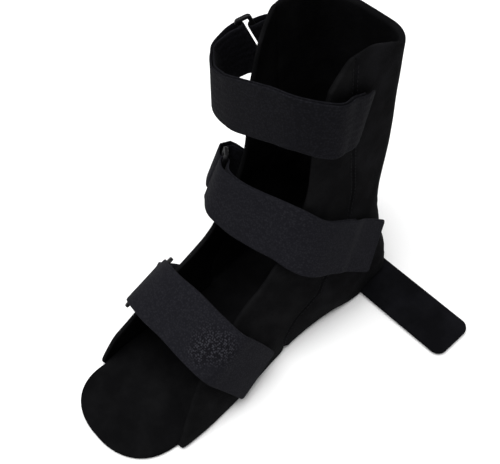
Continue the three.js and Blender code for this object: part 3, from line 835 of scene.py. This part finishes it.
@dataclass
class CentralPanel(Piece):
    """Calf panel, heel cup, sole and toe platform in one padded cloth piece."""

    shape: BootShape
    cloth: bpy.types.Material
    lining: bpy.types.Material
    toe_half_width: float = 46.5 * MM
    toe_round: float = 40 * MM
    toe_power: float = 2.3
    toe_shift: float = -3.5 * MM
    edge_round: float = 2.6 * MM
    least_corner: float = 2 * MM
    creased_at: Vector = Vector((0.030, 0.125, 0.045))
    rows_per_section: int = 13
    curve_steps: int = 24
    bridge_rows: int = 6
    columns: int = 52
    beside_edge: tuple[float, ...] = (0.003, 0.009, 0.018, 0.030, 0.046)
    toe_rows: int = 26

    def half_profile(self, section: Section, inset: float, floor: float, top: float) -> list[Vector]:
        """Half of the profile from its middle line to the seam.

        Args:
            section: the boot's section.
            inset: distance inside the outer wall.
            floor: distance above the outer face.
            top: depth of the seam.

        Returns:
            Points of half-width and depth.
        """
        corner_x = max(section.corner_x - inset, self.least_corner)
        corner_d = max(section.corner_d - floor, self.least_corner)
        flat_end = section.base - inset - corner_x
        curve = [Vector((0.0, floor))]
        for i in range(self.curve_steps + 1):
            angle = math.pi / 2 * i / self.curve_steps
            depth = floor + corner_d * (1 - math.cos(angle))
            if depth > top:
                break
            follow = section.wall(max(depth, section.corner_d)) - section.base
            curve.append(Vector((flat_end + follow + corner_x * math.sin(angle), depth)))
        reached = curve[-1].y
        for i in range(1, self.curve_steps + 1):
            depth = reached + (top - reached) * i / self.curve_steps
            wall = section.wall(max(depth, section.corner_d)) - inset
            corner = min((depth - floor) / corner_d, 1.0)
            bend = corner_x * (1 - math.sqrt(max(1 - (1 - corner) ** 2, 0.0)))
            if depth > reached:
                curve.append(Vector((wall - bend if corner < 1 else wall, depth)))
        return curve

    def wall_row(self, position: float, shares: Sequence[float]) -> tuple[Row, Row]:
        """Outer and inner points of a row round the calf, heel or arch."""
        section = self.shape.section(position)
        top = max(section.seam, section.pad + self.shape.turned_edge)
        rows = []
        for inset, floor in ((0.0, 0.0), (self.shape.side_wall, section.pad)):
            curve = self.half_profile(section, inset, floor, top)
            mirrored = [Vector((-p.x, p.y)) for p in reversed(curve[1:])]
            points = spread(mirrored + curve, [(s + 1) / 2 for s in shares])
            rows.append([section.place(p.x, p.y) for p in points])
        return rows[0], rows[1]

    @staticmethod
    def slab_row(y: float, half_width: float, pad: float, shift: float,
                 shares: Sequence[float]) -> tuple[Row, Row]:
        """Outer and inner points of a row of the flat front part."""
        outer = [Vector((shift + s * half_width, y, 0.0)) for s in shares]
        inner = [Vector((shift + s * half_width, y, pad)) for s in shares]
        return outer, inner

    def toe_width(self, forward: float) -> float:
        """Half-width of the toe platform at a distance from the side panels' front corners."""
        to_round = self.shape.sole_length * (1 - SECTIONS[LAST_ROW].back) - self.toe_round
        share = max(forward - to_round, 0.0) / self.toe_round
        return self.toe_half_width * max(1 - share ** self.toe_power, 0.0) ** (1 / self.toe_power)

    def rows(self, shares: Sequence[float]) -> list[tuple[Row, Row, Edge]]:
        """All rows from the top of the calf to the toe end, each with the way its sides end."""
        shape = self.shape
        found = []
        for position in fine_positions(0, LAST_WALL_ROW - 0.5, self.rows_per_section, True, False):
            found.append((*self.wall_row(position, shares), Edge.SEWN))
        last = found[-1]
        length, heel = shape.sole_length, shape.heel_y
        start, end = SECTIONS[LAST_WALL_ROW].back, SECTIONS[LAST_ROW].back
        flats = []
        for position in fine_positions(LAST_WALL_ROW, LAST_ROW, self.rows_per_section, False, False):
            section = shape.section(position)
            forward = min(((heel - section.bottom.x) / length - start) / (end - start), 1.0)
            pad = shape.sole_pad + (shape.toe_pad - shape.sole_pad) * forward
            width = section.base - shape.side_wall - shape.clearance
            flats.append((*self.slab_row(section.bottom.x, width, pad, 0.0, shares), Edge.TURNED))
        for i in range(1, self.bridge_rows):
            share = smooth_step(i / self.bridge_rows)
            pair = [[a.lerp(b, share) for a, b in zip(last[k], flats[0][k])] for k in (0, 1)]
            found.append((*pair, Edge.SEWN))
        found += flats
        for i in range(1, self.toe_rows + 1):
            share = math.sin(math.pi / 2 * i / (self.toe_rows + 0.5))
            back = end + (1 - end) * share
            width = self.toe_width((back - end) * length)
            row = self.slab_row(heel - back * length, width, shape.toe_pad, self.toe_shift * share, shares)
            found.append((*row, Edge.TURNED))
        return found

    def build(self) -> None:
        """Builds the panel."""
        shares = across_shares(self.columns, True, self.beside_edge)
        rows = self.rows(shares)
        outer, inner = [row[0] for row in rows], [row[1] for row in rows]
        along = travelled([row[len(shares) // 2] for row in outer])
        widths = [travelled(row)[-1] / 2 for row in outer]

        def share(i: int, j: int) -> float:
            """Share of the full thickness at a row and column."""
            side = edge_share((1 - abs(shares[j])) * widths[i], self.edge_round, rows[i][2])
            ends = edge_share(min(along[i], along[-1] - along[i]), self.edge_round, Edge.TURNED)
            return min(side, ends)

        relief = PanelRelief(self.creased_at)
        faces = cloth_body(outer, inner, share, relief.height)
        for row in faces[0]:
            for point in row:
                point.z = max(point.z, 0.0)
        made = closed_cloth("calf_heel_and_sole_panel", *faces, (self.cloth, self.lining))
        self.settle(made, "panel_cloth", ["l_panel"])


@dataclass
class SidePanel(Piece):
    """A padded wall from the seam to the open front's edge."""

    shape: BootShape
    name: str
    side: int
    node: str
    cloth: bpy.types.Material
    lining: bpy.types.Material
    edge_round: float = 2.1 * MM
    crease: float = 0.5 * MM
    rows_per_section: int = 13
    columns: int = 24
    beside_edge: tuple[float, ...] = (0.006, 0.018, 0.036, 0.060, 0.092)

    def build(self) -> None:
        """Builds the panel."""
        shares = across_shares(self.columns, False, self.beside_edge)
        outer, inner, heights = [], [], []
        for position in fine_positions(0, LAST_ROW, self.rows_per_section, True, True):
            section = self.shape.section(position)
            out_row, in_row = [], []
            for share in shares:
                depth = section.seam + (section.depth - section.seam) * share
                wall = section.wall(max(depth, section.corner_d))
                out_row.append(section.place(self.side * section.outer(depth), depth))
                in_row.append(section.place(self.side * (wall - self.shape.side_wall), depth))
            outer.append(out_row)
            inner.append(in_row)
            heights.append(section.depth - section.seam)
        along = travelled([row[-1] for row in outer])

        def share(i: int, j: int) -> float:
            """Share of the full thickness at a row and column."""
            seam = edge_share(shares[j] * heights[i], self.edge_round, Edge.SEWN)
            front = edge_share((1 - shares[j]) * heights[i], self.edge_round, Edge.TURNED)
            ends = edge_share(min(along[i], along[-1] - along[i]), self.edge_round, Edge.TURNED)
            return min(seam, front, ends)

        creased_at = Vector((0.045 * self.side, 0.070, 0.070))
        relief = PanelRelief(creased_at, crease=self.crease, seed=3.0 + self.side)
        faces = cloth_body(outer, inner, share, relief.height)
        made = closed_cloth(self.name, *faces, (self.cloth, self.lining))
        self.settle(made, "side_cloth", [self.node])


class CurveKind(Enum):
    """How a smooth line is eased through its points."""

    CENTRIPETAL = "centripetal"
    UNIFORM = "uniform"


@dataclass(frozen=True)
class SmoothLine:
    """A smooth line through points."""

    points: tuple[Vector, ...]
    kind: CurveKind
    step: float = 0.0001

    def at(self, t: float) -> Vector:
        """The point at a share of the line."""
        points, last = self.points, len(self.points) - 1
        whole = min(math.floor(last * t), last - 1)
        weight = last * t - whole
        p1, p2 = points[whole], points[whole + 1]
        p0 = points[whole - 1] if whole > 0 else 2 * points[0] - points[1]
        p3 = points[whole + 2] if whole + 2 <= last else 2 * points[last] - points[last - 1]
        if self.kind is CurveKind.CENTRIPETAL:
            d0, d1, d2 = [math.sqrt((b - a).length) for a, b in ((p0, p1), (p1, p2), (p2, p3))]
            start = ((p1 - p0) / d0 - (p2 - p0) / (d0 + d1) + (p2 - p1) / d1) * d1
            end = ((p2 - p1) / d1 - (p3 - p1) / (d1 + d2) + (p3 - p2) / d2) * d1
        else:
            start, end = (p2 - p0) * 0.5, (p3 - p1) * 0.5
        w2, w3 = weight * weight, weight ** 3
        return (p1 + start * weight + (3 * (p2 - p1) - 2 * start - end) * w2
                + (2 * (p1 - p2) + start + end) * w3)

    def heading(self, t: float) -> Vector:
        """The line's direction at a share of it."""
        low, high = max(t - self.step, 0.0), min(t + self.step, 1.0)
        return (self.at(high) - self.at(low)).normalized()


class GuideStep(NamedTuple):
    """One step of a guide, with its frame."""

    length: float
    point: Vector
    ahead: Vector
    across: Vector
    out: Vector


class Guide:
    """The line that a strap's inner face follows, with the way across it and out of it at each step."""

    def __init__(self, points: Sequence[Vector], across: Sequence[Vector], steps: int = 600) -> None:
        """Works out the steps of a guide through points, each with a way across."""
        path = SmoothLine(tuple(points), CurveKind.CENTRIPETAL)
        lean = SmoothLine(tuple(across), CurveKind.UNIFORM)
        self.rows = len(points)
        self.steps: list[GuideStep] = []
        length = 0.0
        for i in range(steps + 1):
            t = i / steps
            point = path.at(t)
            if self.steps:
                length += (point - self.steps[-1].point).length
            ahead = path.heading(t)
            side = lean.at(t)
            side = (side - ahead * side.dot(ahead)).normalized()
            self.steps.append(GuideStep(length, point, ahead, side, side.cross(ahead).normalized()))
        self.length = length

    def at(self, wanted: float) -> GuideStep:
        """The step at a length."""
        low, high = 0, len(self.steps) - 1
        while low < high:
            middle = (low + high) // 2
            if self.steps[middle].length >= wanted - TINY:
                high = middle
            else:
                low = middle + 1
        return self.steps[low]

    def row_length(self, row: float) -> float:
        """The length at which the guide passes a row of its points."""
        return self.steps[round(row / (self.rows - 1) * (len(self.steps) - 1))].length


class Station(NamedTuple):
    """A place of a strip: its centre, the way across it and the way that its face looks."""

    centre: Vector
    across: Vector
    face: Vector


@dataclass(frozen=True)
class Strip:
    """Sizes of a strip of webbing."""

    width: float
    thickness: float
    selvage: float = 1.6 * MM
    selvage_rim: float = 1.1 * MM
    selvage_share: float = 0.74
    beside_edge: tuple[float, ...] = (0.12 * MM, 0.4 * MM, 0.9 * MM, 1.5 * MM, 2.0 * MM)
    beside_end: tuple[float, ...] = (0.3 * MM, 0.9 * MM)
    corner: float = 3.0 * MM
    columns: int = 16
    step: float = 2.0 * MM
    turn_steps: int = 12
    lift_length: float = 22 * MM
    drop_length: float = 10 * MM
    ripple: float = 0.25 * MM
    ripple_wave: float = 34 * MM
    seed: float = 0.0

    def stations(self, line: Guide, start: float, fold: float, end: float, turn_radius: float,
                 clearance: float, gap: float) -> list[Station]:
        """Stations of a strip that turns round a bar and comes back over itself.

        Args:
            line: the guide.
            start: length at which the lower layer starts.
            fold: length at which the strip turns round the bar.
            end: length at which the upper layer ends.
            turn_radius: radius of the turn, to the strip's middle.
            clearance: gap under the lower layer.
            gap: gap between the layers.

        Returns:
            The stations in order.
        """
        lower = clearance + self.thickness / 2
        flat = lower + self.thickness + gap
        way = math.copysign(1.0, fold - start)

        def upper(length: float) -> float:
            """Height of the upper layer above the guide."""
            near = max(1 - abs(fold - length) / self.lift_length, 0.0)
            down = min(max(way * (start - length) / self.drop_length, 0.0), 1.0)
            opened = (lower + 2 * turn_radius - flat) * smooth_step(near)
            return flat + opened - (self.thickness + gap) * down

        def lengths(a: float, b: float) -> list[float]:
            """Lengths from one place to another."""
            count = max(round(abs(b - a) / self.step), 2)
            found = [a + (b - a) * i / count for i in range(count + 1)]
            for end in self.beside_end:
                end = math.copysign(min(end, abs(b - a) / 8), b - a)
                found += [a + end, b - end]
            return sorted(found, reverse=b < a)

        found = []
        for length in lengths(start, fold):
            here = line.at(length)
            found.append(Station(here.point + here.out * lower, here.across, -here.out))
        last = line.at(fold)
        for i in range(1, self.turn_steps):
            angle = math.pi * i / self.turn_steps
            face = -last.out * math.cos(angle) + last.ahead * way * math.sin(angle)
            centre = last.point + last.out * (lower + turn_radius) + face * turn_radius
            found.append(Station(centre, last.across, face))
        for length in lengths(fold, end):
            here = line.at(length)
            found.append(Station(here.point + here.out * upper(length), here.across, here.out))
        return found

    def build(self, name: str, stations: Sequence[Station], cloth: bpy.types.Material) -> bpy.types.Object:
        """Builds the strip with thin selvages, rounded ends and a slight ripple.

        Args:
            name: the object's name.
            stations: its stations.
            cloth: its webbing.

        Returns:
            The object.
        """
        half = self.width / 2
        shares = across_shares(self.columns, True, [distance / half for distance in self.beside_edge])
        along = travelled([station.centre for station in stations])
        wave = soft_waves(self.ripple_wave, self.seed)
        selvage_slope = self.selvage - self.selvage_rim
        outer, inner = [], []
        for s, length in zip(stations, along):
            from_end = min(length, along[-1] - length)
            rest = max(self.corner - from_end, 0.0)
            kept = half - (self.corner - math.sqrt(max(self.corner ** 2 - rest ** 2, 0.0)))
            ends = 0.0
            if from_end > TINY:
                ends = edge_share(from_end + MERGE, self.thickness / 2, Edge.TURNED)
            out_row, in_row = [], []
            for share in shares:
                distance = (1 - abs(share)) * half
                rim = edge_share(distance, self.thickness * 0.4, Edge.TURNED)
                inside = smooth_step((distance - self.selvage_rim) / selvage_slope)
                thin = self.selvage_share + (1 - self.selvage_share) * inside
                point = s.centre + s.across * (share * kept)
                sway = wave(point + Vector((share * 0.02, 0, 0))) * self.ripple * abs(share)
                point = point + s.face * sway
                thick = s.face * (self.thickness / 2 * rim * thin * ends)
                out_row.append(point + thick)
                in_row.append(point - thick)
            outer.append(out_row)
            inner.append(in_row)
        return closed_cloth(name, outer, inner, (cloth,))


@dataclass(frozen=True)
class StrapRun:
    """The way of one strap: the rows that it passes, from its loose end to its ring and its tab's end."""

    name: str
    seam: float
    medial_lean: tuple[float, float, float]
    medial: tuple[PanelRow, ...]
    front: tuple[FrontRow, ...]
    lateral_lean: tuple[float, float, float]
    lateral: tuple[PanelRow, ...]


STRAP_RUNS = (
    StrapRun(
        "top", 0.66, (0.00, 0.12, 1),
        (PanelRow(0.86, 0.57, 1.0), PanelRow(0.77, 0.75, 2.6), PanelRow(0.62, 0.92, 5.2)),
        (FrontRow(0.56, 0.282, 0.932, (0.00, 0.12, 1)), FrontRow(0.00, 0.298, 0.916, (0.02, 0.12, 1)),
         FrontRow(-0.55, 0.306, 0.884, (0.05, 0.10, 1)), FrontRow(-1.10, 0.306, 0.848, (0.08, 0.08, 1)),
         FrontRow(-1.60, 0.288, 0.832, (0.08, 0.04, 1)), FrontRow(-1.82, 0.244, 0.842, (0.05, 0.00, 1)),
         FrontRow(-1.76, 0.204, 0.860, (0.03, 0.00, 1)), FrontRow(-1.60, 0.168, 0.878, (0.00, 0.00, 1))),
        (0.00, 0.00, 1), (PanelRow(0.62, 0.46, 2.2), PanelRow(0.58, 0.30, 0.1))),
    StrapRun(
        "ankle", 0.56, (-0.10, 0.64, 0.76),
        (PanelRow(5.38, 0.28, 2.5), PanelRow(5.00, 0.42, 1.4), PanelRow(4.45, 0.62, 2.4),
         PanelRow(3.90, 0.86, 5.6)),
        (FrontRow(0.70, 0.358, 0.526, (-0.05, 0.58, 0.80)),
         FrontRow(0.12, 0.380, 0.528, (0.00, 0.52, 0.84)),
         FrontRow(-0.44, 0.393, 0.526, (0.06, 0.46, 0.88)),
         FrontRow(-0.88, 0.388, 0.524, (0.10, 0.42, 0.90)),
         FrontRow(-1.12, 0.360, 0.520, (0.10, 0.40, 0.90))),
        (0.10, 0.50, 0.86), (PanelRow(3.70, 0.78, 2.6), PanelRow(4.05, 0.60, 2.0))),
    StrapRun(
        "foot", 0.34, (0.00, 0.94, 0.34),
        (PanelRow(12.6, 0.32, 1.0), PanelRow(12.35, 0.60, 3.0), PanelRow(12.1, 0.86, 6.0)),
        (FrontRow(1.17, 0.655, 0.298, (-0.03, 0.93, 0.36)), FrontRow(0.70, 0.662, 0.322, (0.00, 0.92, 0.39)),
         FrontRow(0.00, 0.660, 0.326, (0.00, 0.90, 0.42)),
         FrontRow(-0.54, 0.660, 0.312, (0.02, 0.90, 0.42)),
         FrontRow(-1.00, 0.650, 0.280, (0.04, 0.90, 0.40)),
         FrontRow(-1.26, 0.634, 0.220, (0.04, 0.92, 0.35))),
        (0.04, 0.94, 0.32), (PanelRow(12.22, 0.40, 3.2), PanelRow(12.14, 0.22, 3.4))),
)


@dataclass
class StrapSet(Piece):
    """A strap, the ring that it folds through and the tab that holds the ring."""

    shape: BootShape
    run: StrapRun
    webbing: bpy.types.Material
    plastic: bpy.types.Material
    thread: bpy.types.Material
    strap_width: float = 44 * MM
    strap_thickness: float = 1.8 * MM
    layer_gap: float = 0.6 * MM
    tab_width: float = 36 * MM
    tab_thickness: float = 1.5 * MM
    ring_bar: float = 3 * MM
    ring_slot: float = 6.6 * MM
    ring_corner: float = 3 * MM
    ring_play: float = 1 * MM
    ring_rim: float = 0.8 * MM
    tab_lead: float = 9 * MM
    tab_ripple: float = 0.1 * MM
    stitch_stations: tuple[int, ...] = (4, 7)
    stitch_margin: float = 3 * MM
    stitches: int = 12

    def panel_rows(self, side: int, rows: Sequence[PanelRow], lean: Sequence[float]) -> tuple[Row, Row]:
        """Points and ways across of rows on a side panel's outer face.

        Args:
            side: 1 for the inner side, -1 for the outer.
            rows: the rows.
            lean: direction that the way across is nearest to.

        Returns:
            The points and the ways across.
        """
        points, across = [], []
        leaning = Vector(lean).normalized()
        for row in rows:
            point, away = self.shape.outer_face(side, row.section, lambda s: row.depth * s.depth, 0.05)
            points.append(point + away * (self.shape.clearance + row.lift * MM))
            across.append((leaning - away * leaning.dot(away)).normalized())
        return points, across

    def guide(self) -> Guide:
        """The strap's guide from its loose end to the fold."""
        shape = self.shape
        points, across = self.panel_rows(1, self.run.medial, self.run.medial_lean)
        for row in self.run.front:
            points.append(Vector((row.x * shape.calf_half_width, shape.heel_y - row.back * shape.sole_length,
                                  row.up * shape.back_height)))
            across.append(Vector(row.lean).normalized())
        return Guide(points, across)

    def seam_row(self) -> float:
        """The medial row, in parts of a row, at which the lower layer is sewn."""
        rows = self.run.medial
        before = max(i for i, row in enumerate(rows) if row.depth <= self.run.seam)
        return before + (self.run.seam - rows[before].depth) / (rows[before + 1].depth - rows[before].depth)

    def ring(self, fold: GuideStep, bar_half: float) -> None:
        """Builds the moulded loop: a rounded frame with soft edges."""
        x = self.strap_width / 2 + self.shape.clearance + self.ring_play + self.ring_bar
        y = self.ring_slot / 2 + self.ring_bar
        bm = bmesh.new()
        bmesh.ops.create_grid(bm, x_segments=1, y_segments=1, size=1.0)
        bmesh.ops.scale(bm, vec=(x, y, 1), verts=bm.verts)
        bmesh.ops.bevel(bm, geom=bm.verts[:], offset=self.ring_corner, offset_type="OFFSET", segments=6,
                        profile=0.5, affect="VERTICES", material=-1)
        bmesh.ops.inset_region(bm, faces=bm.faces[:], thickness=self.ring_bar, use_even_offset=True,
                               use_boundary=True)
        middle = min(bm.faces, key=lambda face: face.calc_center_median().length)
        bmesh.ops.delete(bm, geom=[middle], context="FACES")
        bmesh.ops.remove_doubles(bm, verts=bm.verts, dist=0.02 * MM)
        flat = bm.faces[:]
        lifted = bmesh.ops.extrude_face_region(bm, geom=flat)["geom"]
        bmesh.ops.translate(bm, vec=(0, 0, self.ring_bar),
                            verts=[v for v in lifted if isinstance(v, bmesh.types.BMVert)])
        bmesh.ops.translate(bm, vec=(0, 0, -self.ring_bar / 2), verts=bm.verts)
        bmesh.ops.recalc_face_normals(bm, faces=bm.faces)
        round_rims(bm, self.ring_rim, 3)
        place = Matrix((fold.across, fold.ahead, fold.out)).transposed().to_4x4()
        thick = self.shape.clearance + self.strap_thickness + bar_half
        place.translation = fold.point + fold.out * thick + fold.ahead * (self.ring_slot + self.ring_bar) / 2
        bmesh.ops.transform(bm, matrix=place, verts=bm.verts)
        made = finish_mesh(f"{self.run.name}_strap_ring", bm, (self.plastic,))
        self.settle(made, "ring_plastic", [f"{self.run.name}_ring"])

    def tab(self, fold: GuideStep, bar_half: float) -> list[Station]:
        """Builds the doubled webbing tab and gives back the stations that it follows."""
        span, turn = self.ring_slot + self.ring_bar, bar_half + self.tab_thickness / 2
        seat = self.strap_thickness - self.tab_thickness
        points, across = self.panel_rows(-1, self.run.lateral, self.run.lateral_lean)
        leave = [fold.point + fold.ahead * d + fold.out * seat for d in (span, span + self.tab_lead)]
        line = Guide([*leave, *points], [fold.across, fold.across, *across])
        strip = Strip(self.tab_width, self.tab_thickness, ripple=self.tab_ripple, seed=len(self.run.name))
        stations = strip.stations(line, line.length, 0.0, line.length, turn, self.shape.clearance,
                                  self.layer_gap)
        made = strip.build(f"{self.run.name}_strap_tab", stations, self.webbing)
        self.settle(made, "webbing", [f"{self.run.name}_ring_tab"])
        return stations

    def tab_stitches(self, stations: Sequence[Station]) -> None:
        """Builds the two rows of stitches across the tab's sewn end."""
        half = self.tab_width / 2 - self.stitch_margin
        rows = []
        for back in self.stitch_stations:
            station = stations[-back]
            top = station.centre + station.face * self.tab_thickness / 2
            offsets = [-half + 2 * half * i / self.stitches for i in range(self.stitches + 1)]
            rows.append([(top + station.across * offset, station.face) for offset in offsets])
        Stitching(self.thread, "webbing").build(f"{self.run.name}_tab_stitches", rows)

    def build(self) -> None:
        """Builds the strap, its ring, its tab and the tab's stitching."""
        line = self.guide()
        bar_half = math.hypot(self.ring_bar, self.ring_bar) / 2 + self.shape.clearance
        turn = bar_half + self.strap_thickness / 2
        strip = Strip(self.strap_width, self.strap_thickness, seed=3.0 * len(self.run.name))
        stations = strip.stations(line, line.row_length(self.seam_row()), line.length, 0.0, turn,
                                  self.shape.clearance, self.layer_gap)
        made = strip.build(f"{self.run.name}_strap_webbing", stations, self.webbing)
        self.settle(made, "webbing", [f"{self.run.name}_strap"])
        fold = line.at(line.length)
        self.ring(fold, bar_half)
        self.tab_stitches(self.tab(fold, bar_half))


@dataclass
class Stitching(Piece):
    """Rows of separate thread stitches, each a short bead half sunk in the cloth."""

    thread: bpy.types.Material
    slot: str
    length: float = 2.6 * MM
    radius: float = 0.38 * MM
    proud: float = 0.35

    def build(self, name: str, rows: Sequence[Sequence[tuple[Vector, Vector]]]) -> None:
        """Builds the stitches along rows.

        Args:
            name: the object's name.
            rows: rows of places, each with the direction out of the cloth.
        """
        bm = bmesh.new()
        for row in rows:
            for (a, out), (b, _) in zip(row, row[1:]):
                along = (b - a).normalized()
                side = out.cross(along).normalized()
                place = Matrix((along, side, side.cross(along) * -1)).transposed().to_4x4()
                place.translation = (a + b) / 2 + out * self.radius * self.proud
                size = Matrix.Diagonal((self.length / 2, self.radius, self.radius, 1))
                bmesh.ops.create_uvsphere(bm, u_segments=8, v_segments=5, radius=1.0,
                                          matrix=place @ size @ Matrix.Rotation(math.pi / 2, 4, "Y"))
        made = finish_mesh(name, bm, (self.thread,))
        self.settle(made, self.slot)


@dataclass
class SeamLines(Piece):
    """The double rows of stitches along the seams between the central and side panels."""

    shape: BootShape
    thread: bpy.types.Material
    pitch: float = 3.3 * MM
    apart: float = 1.9 * MM
    sunk: float = 0.25 * MM
    first: float = 0.10
    last: float = 11.4
    steps: int = 900

    def row(self, side: int, beside: float) -> list[tuple[Vector, Vector]]:
        """A row of places beside a seam, one pitch apart, with the direction out of the cloth."""
        found = []
        for i in range(self.steps + 1):
            position = self.first + (self.last - self.first) * i / self.steps
            point, out = self.shape.outer_face(side, position, lambda s: s.seam + beside, 0.02)
            if not found or (point - found[-1][0]).length >= self.pitch:
                found.append((point - out * self.sunk, out))
        return found

    def build(self) -> None:
        """Builds the stitches of both sides."""
        for side, name in ((1, "medial"), (-1, "lateral")):
            rows = [self.row(side, -self.apart), self.row(side, self.apart)]
            Stitching(self.thread, "panel_cloth").build(f"{name}_seam_stitches", rows)


@dataclass
class HeelBar(Piece):
    """The flat crosswise bar: a stiff strip in a cloth cover."""

    shape: BootShape
    cloth: bpy.types.Material
    half_length: float = 135 * MM
    width: float = 38 * MM
    thickness: float = 4 * MM
    corner: float = 8 * MM
    rim: float = 1.5 * MM
    from_back: float = 25 * MM
    sleeve: float = 1.5 * MM
    cuts: int = 44
    cut_apart: float = 7 * MM
    unevenness: float = 0.22 * MM
    wave: float = 30 * MM
    seed: float = 9.0

    def build(self) -> None:
        """Builds the bar."""
        bm = bmesh.new()
        bmesh.ops.create_cube(bm, size=1.0)
        bmesh.ops.scale(bm, vec=(2 * self.half_length, self.width, self.thickness), verts=bm.verts)
        upright = [e for e in bm.edges if abs((e.verts[0].co - e.verts[1].co).normalized().z) > 0.9]
        bmesh.ops.bevel(bm, geom=upright, offset=self.corner, offset_type="OFFSET", segments=8, profile=0.5,
                        affect="EDGES", material=-1)
        round_rims(bm, self.rim, 4)
        straight = self.half_length - self.corner
        along = [Vector((straight * (2 * i / self.cuts - 1), 0, 0)) for i in range(1, self.cuts)]
        across = [Vector((0, self.cut_apart * i, 0)) for i in range(-2, 3)]
        for places, facing in ((along, (1, 0, 0)), (across, (0, 1, 0))):
            for place in places:
                bmesh.ops.bisect_plane(bm, geom=bm.verts[:] + bm.edges[:] + bm.faces[:], plane_co=place,
                                       plane_no=facing)
        wave = soft_waves(self.wave, self.seed)
        for vertex in bm.verts:
            if vertex.co.z > 0:
                vertex.co.z += self.unevenness * wave(vertex.co)
        middle = self.sleeve + self.shape.clearance + self.thickness / 2
        bmesh.ops.translate(bm, vec=(0, self.shape.heel_y - self.from_back, middle), verts=bm.verts)
        layer = cloth_layer(bm)
        for face in bm.faces:
            for loop in face.loops:
                loop[layer].uv = loop.vert.co.xy
        made = finish_mesh("heel_bar_cover", bm, (self.cloth,))
        self.settle(made, "bar_cloth", ["heel_bar"])


@dataclass(frozen=True)
class Studio:
    """Pale floor, soft lights and the camera at the photograph's angle."""

    camera_place: Vector = Vector((0.2889, -0.1857, 0.6155))
    right: Vector = Vector((0.670, 0.739, -0.071))
    up: Vector = Vector((-0.579, 0.580, 0.573))
    back: Vector = Vector((0.465, -0.343, 0.816))
    lens: float = 61.1
    floor_half: float = 4.0
    world_strength: float = 0.38
    aim: Vector = Vector((0, 0, 0.1))

    def floor(self) -> None:
        """Builds the floor."""
        bm = bmesh.new()
        bmesh.ops.create_grid(bm, x_segments=4, y_segments=4, size=self.floor_half)
        made = finish_mesh("pale_floor", bm, (PaleFloor().make(),))
        if made.data.polygons[0].normal.z < 0:
            made.data.flip_normals()

    def light(self, name: str, place: tuple[float, float, float], power: float, size: float) -> None:
        """Adds a soft square light that looks at the boot.

        Args:
            name: the light's name.
            place: where it stands.
            power: its power in watts.
            size: its side in metres.
        """
        lamp = bpy.data.lights.new(name, "AREA")
        lamp.energy = power
        lamp.size = size
        made = bpy.data.objects.new(name, lamp)
        made.location = place
        made.rotation_euler = (Vector(place) - self.aim).to_track_quat("Z", "Y").to_euler()
        bpy.context.scene.collection.objects.link(made)

    def camera(self) -> None:
        """Adds the camera and makes it the scene's."""
        data = bpy.data.cameras.new("photo_camera")
        data.lens = self.lens
        data.sensor_width = 36
        data.clip_start = 0.01
        made = bpy.data.objects.new("photo_camera", data)
        back = self.back.normalized()
        right = (self.right - back * self.right.dot(back)).normalized()
        place = Matrix((right, back.cross(right), back)).transposed().to_4x4()
        place.translation = self.camera_place
        made.matrix_world = place
        bpy.context.scene.collection.objects.link(made)
        bpy.context.scene.camera = made

    def build(self) -> None:
        """Builds the whole studio."""
        self.camera()
        self.floor()
        self.light("overhead", (0.0, -0.2, 3.0), 118, 2.4)
        self.light("left", (-1.2, -0.9, 1.1), 3, 1.0)
        world = bpy.data.worlds.new("studio")
        world.use_nodes = True
        sky = world.node_tree.nodes["Background"]
        sky.inputs["Color"].default_value = linear("ffffff")
        sky.inputs["Strength"].default_value = self.world_strength
        bpy.context.scene.world = world
        bpy.context.scene.view_settings.view_transform = "Standard"


def main() -> None:
    """Builds the boot's pieces in order."""
    logging.basicConfig(level=logging.INFO, format="%(message)s")
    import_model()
    shape = BootShape()
    cloth = LaminatedCloth().make()
    side_cloth = LaminatedCloth(name="side_laminated_cloth", colour="0d0d0e", worn="161617").make()
    lining = LaminatedCloth(name="brushed_lining", colour="0b0b0c", worn="121213", specular=0.01).make()
    bar_cloth = LaminatedCloth(name="bar_cover_cloth", colour="0b0b0d", worn="121215", knit=1.3 * MM).make()
    webbing = LoopWebbing().make()
    # Darker copy of the loop webbing for the top strap: painted shade, standing in for the shade inside its
    # loop
    shaded_webbing = LoopWebbing(name="shaded_loop_webbing", colour="101013", tip="1b1b1f").make()
    plastic = MouldedPlastic().make()
    thread = SewingThread().make()
    Studio().build()
    CentralPanel(shape, cloth, lining).build()
    SidePanel(shape, "medial_side_panel", 1, "medial_panel", side_cloth, lining).build()
    SidePanel(shape, "lateral_side_panel", -1, "lateral_panel", side_cloth, lining).build()
    HeelBar(shape, bar_cloth).build()
    for run in STRAP_RUNS:
        # The top strap takes the darker copy of the webbing, which is painted shade
        StrapSet(shape, run, shaded_webbing if run.name == "top" else webbing, plastic, thread).build()
    SeamLines(shape, thread).build()


if __name__ == "__main__":
    main()
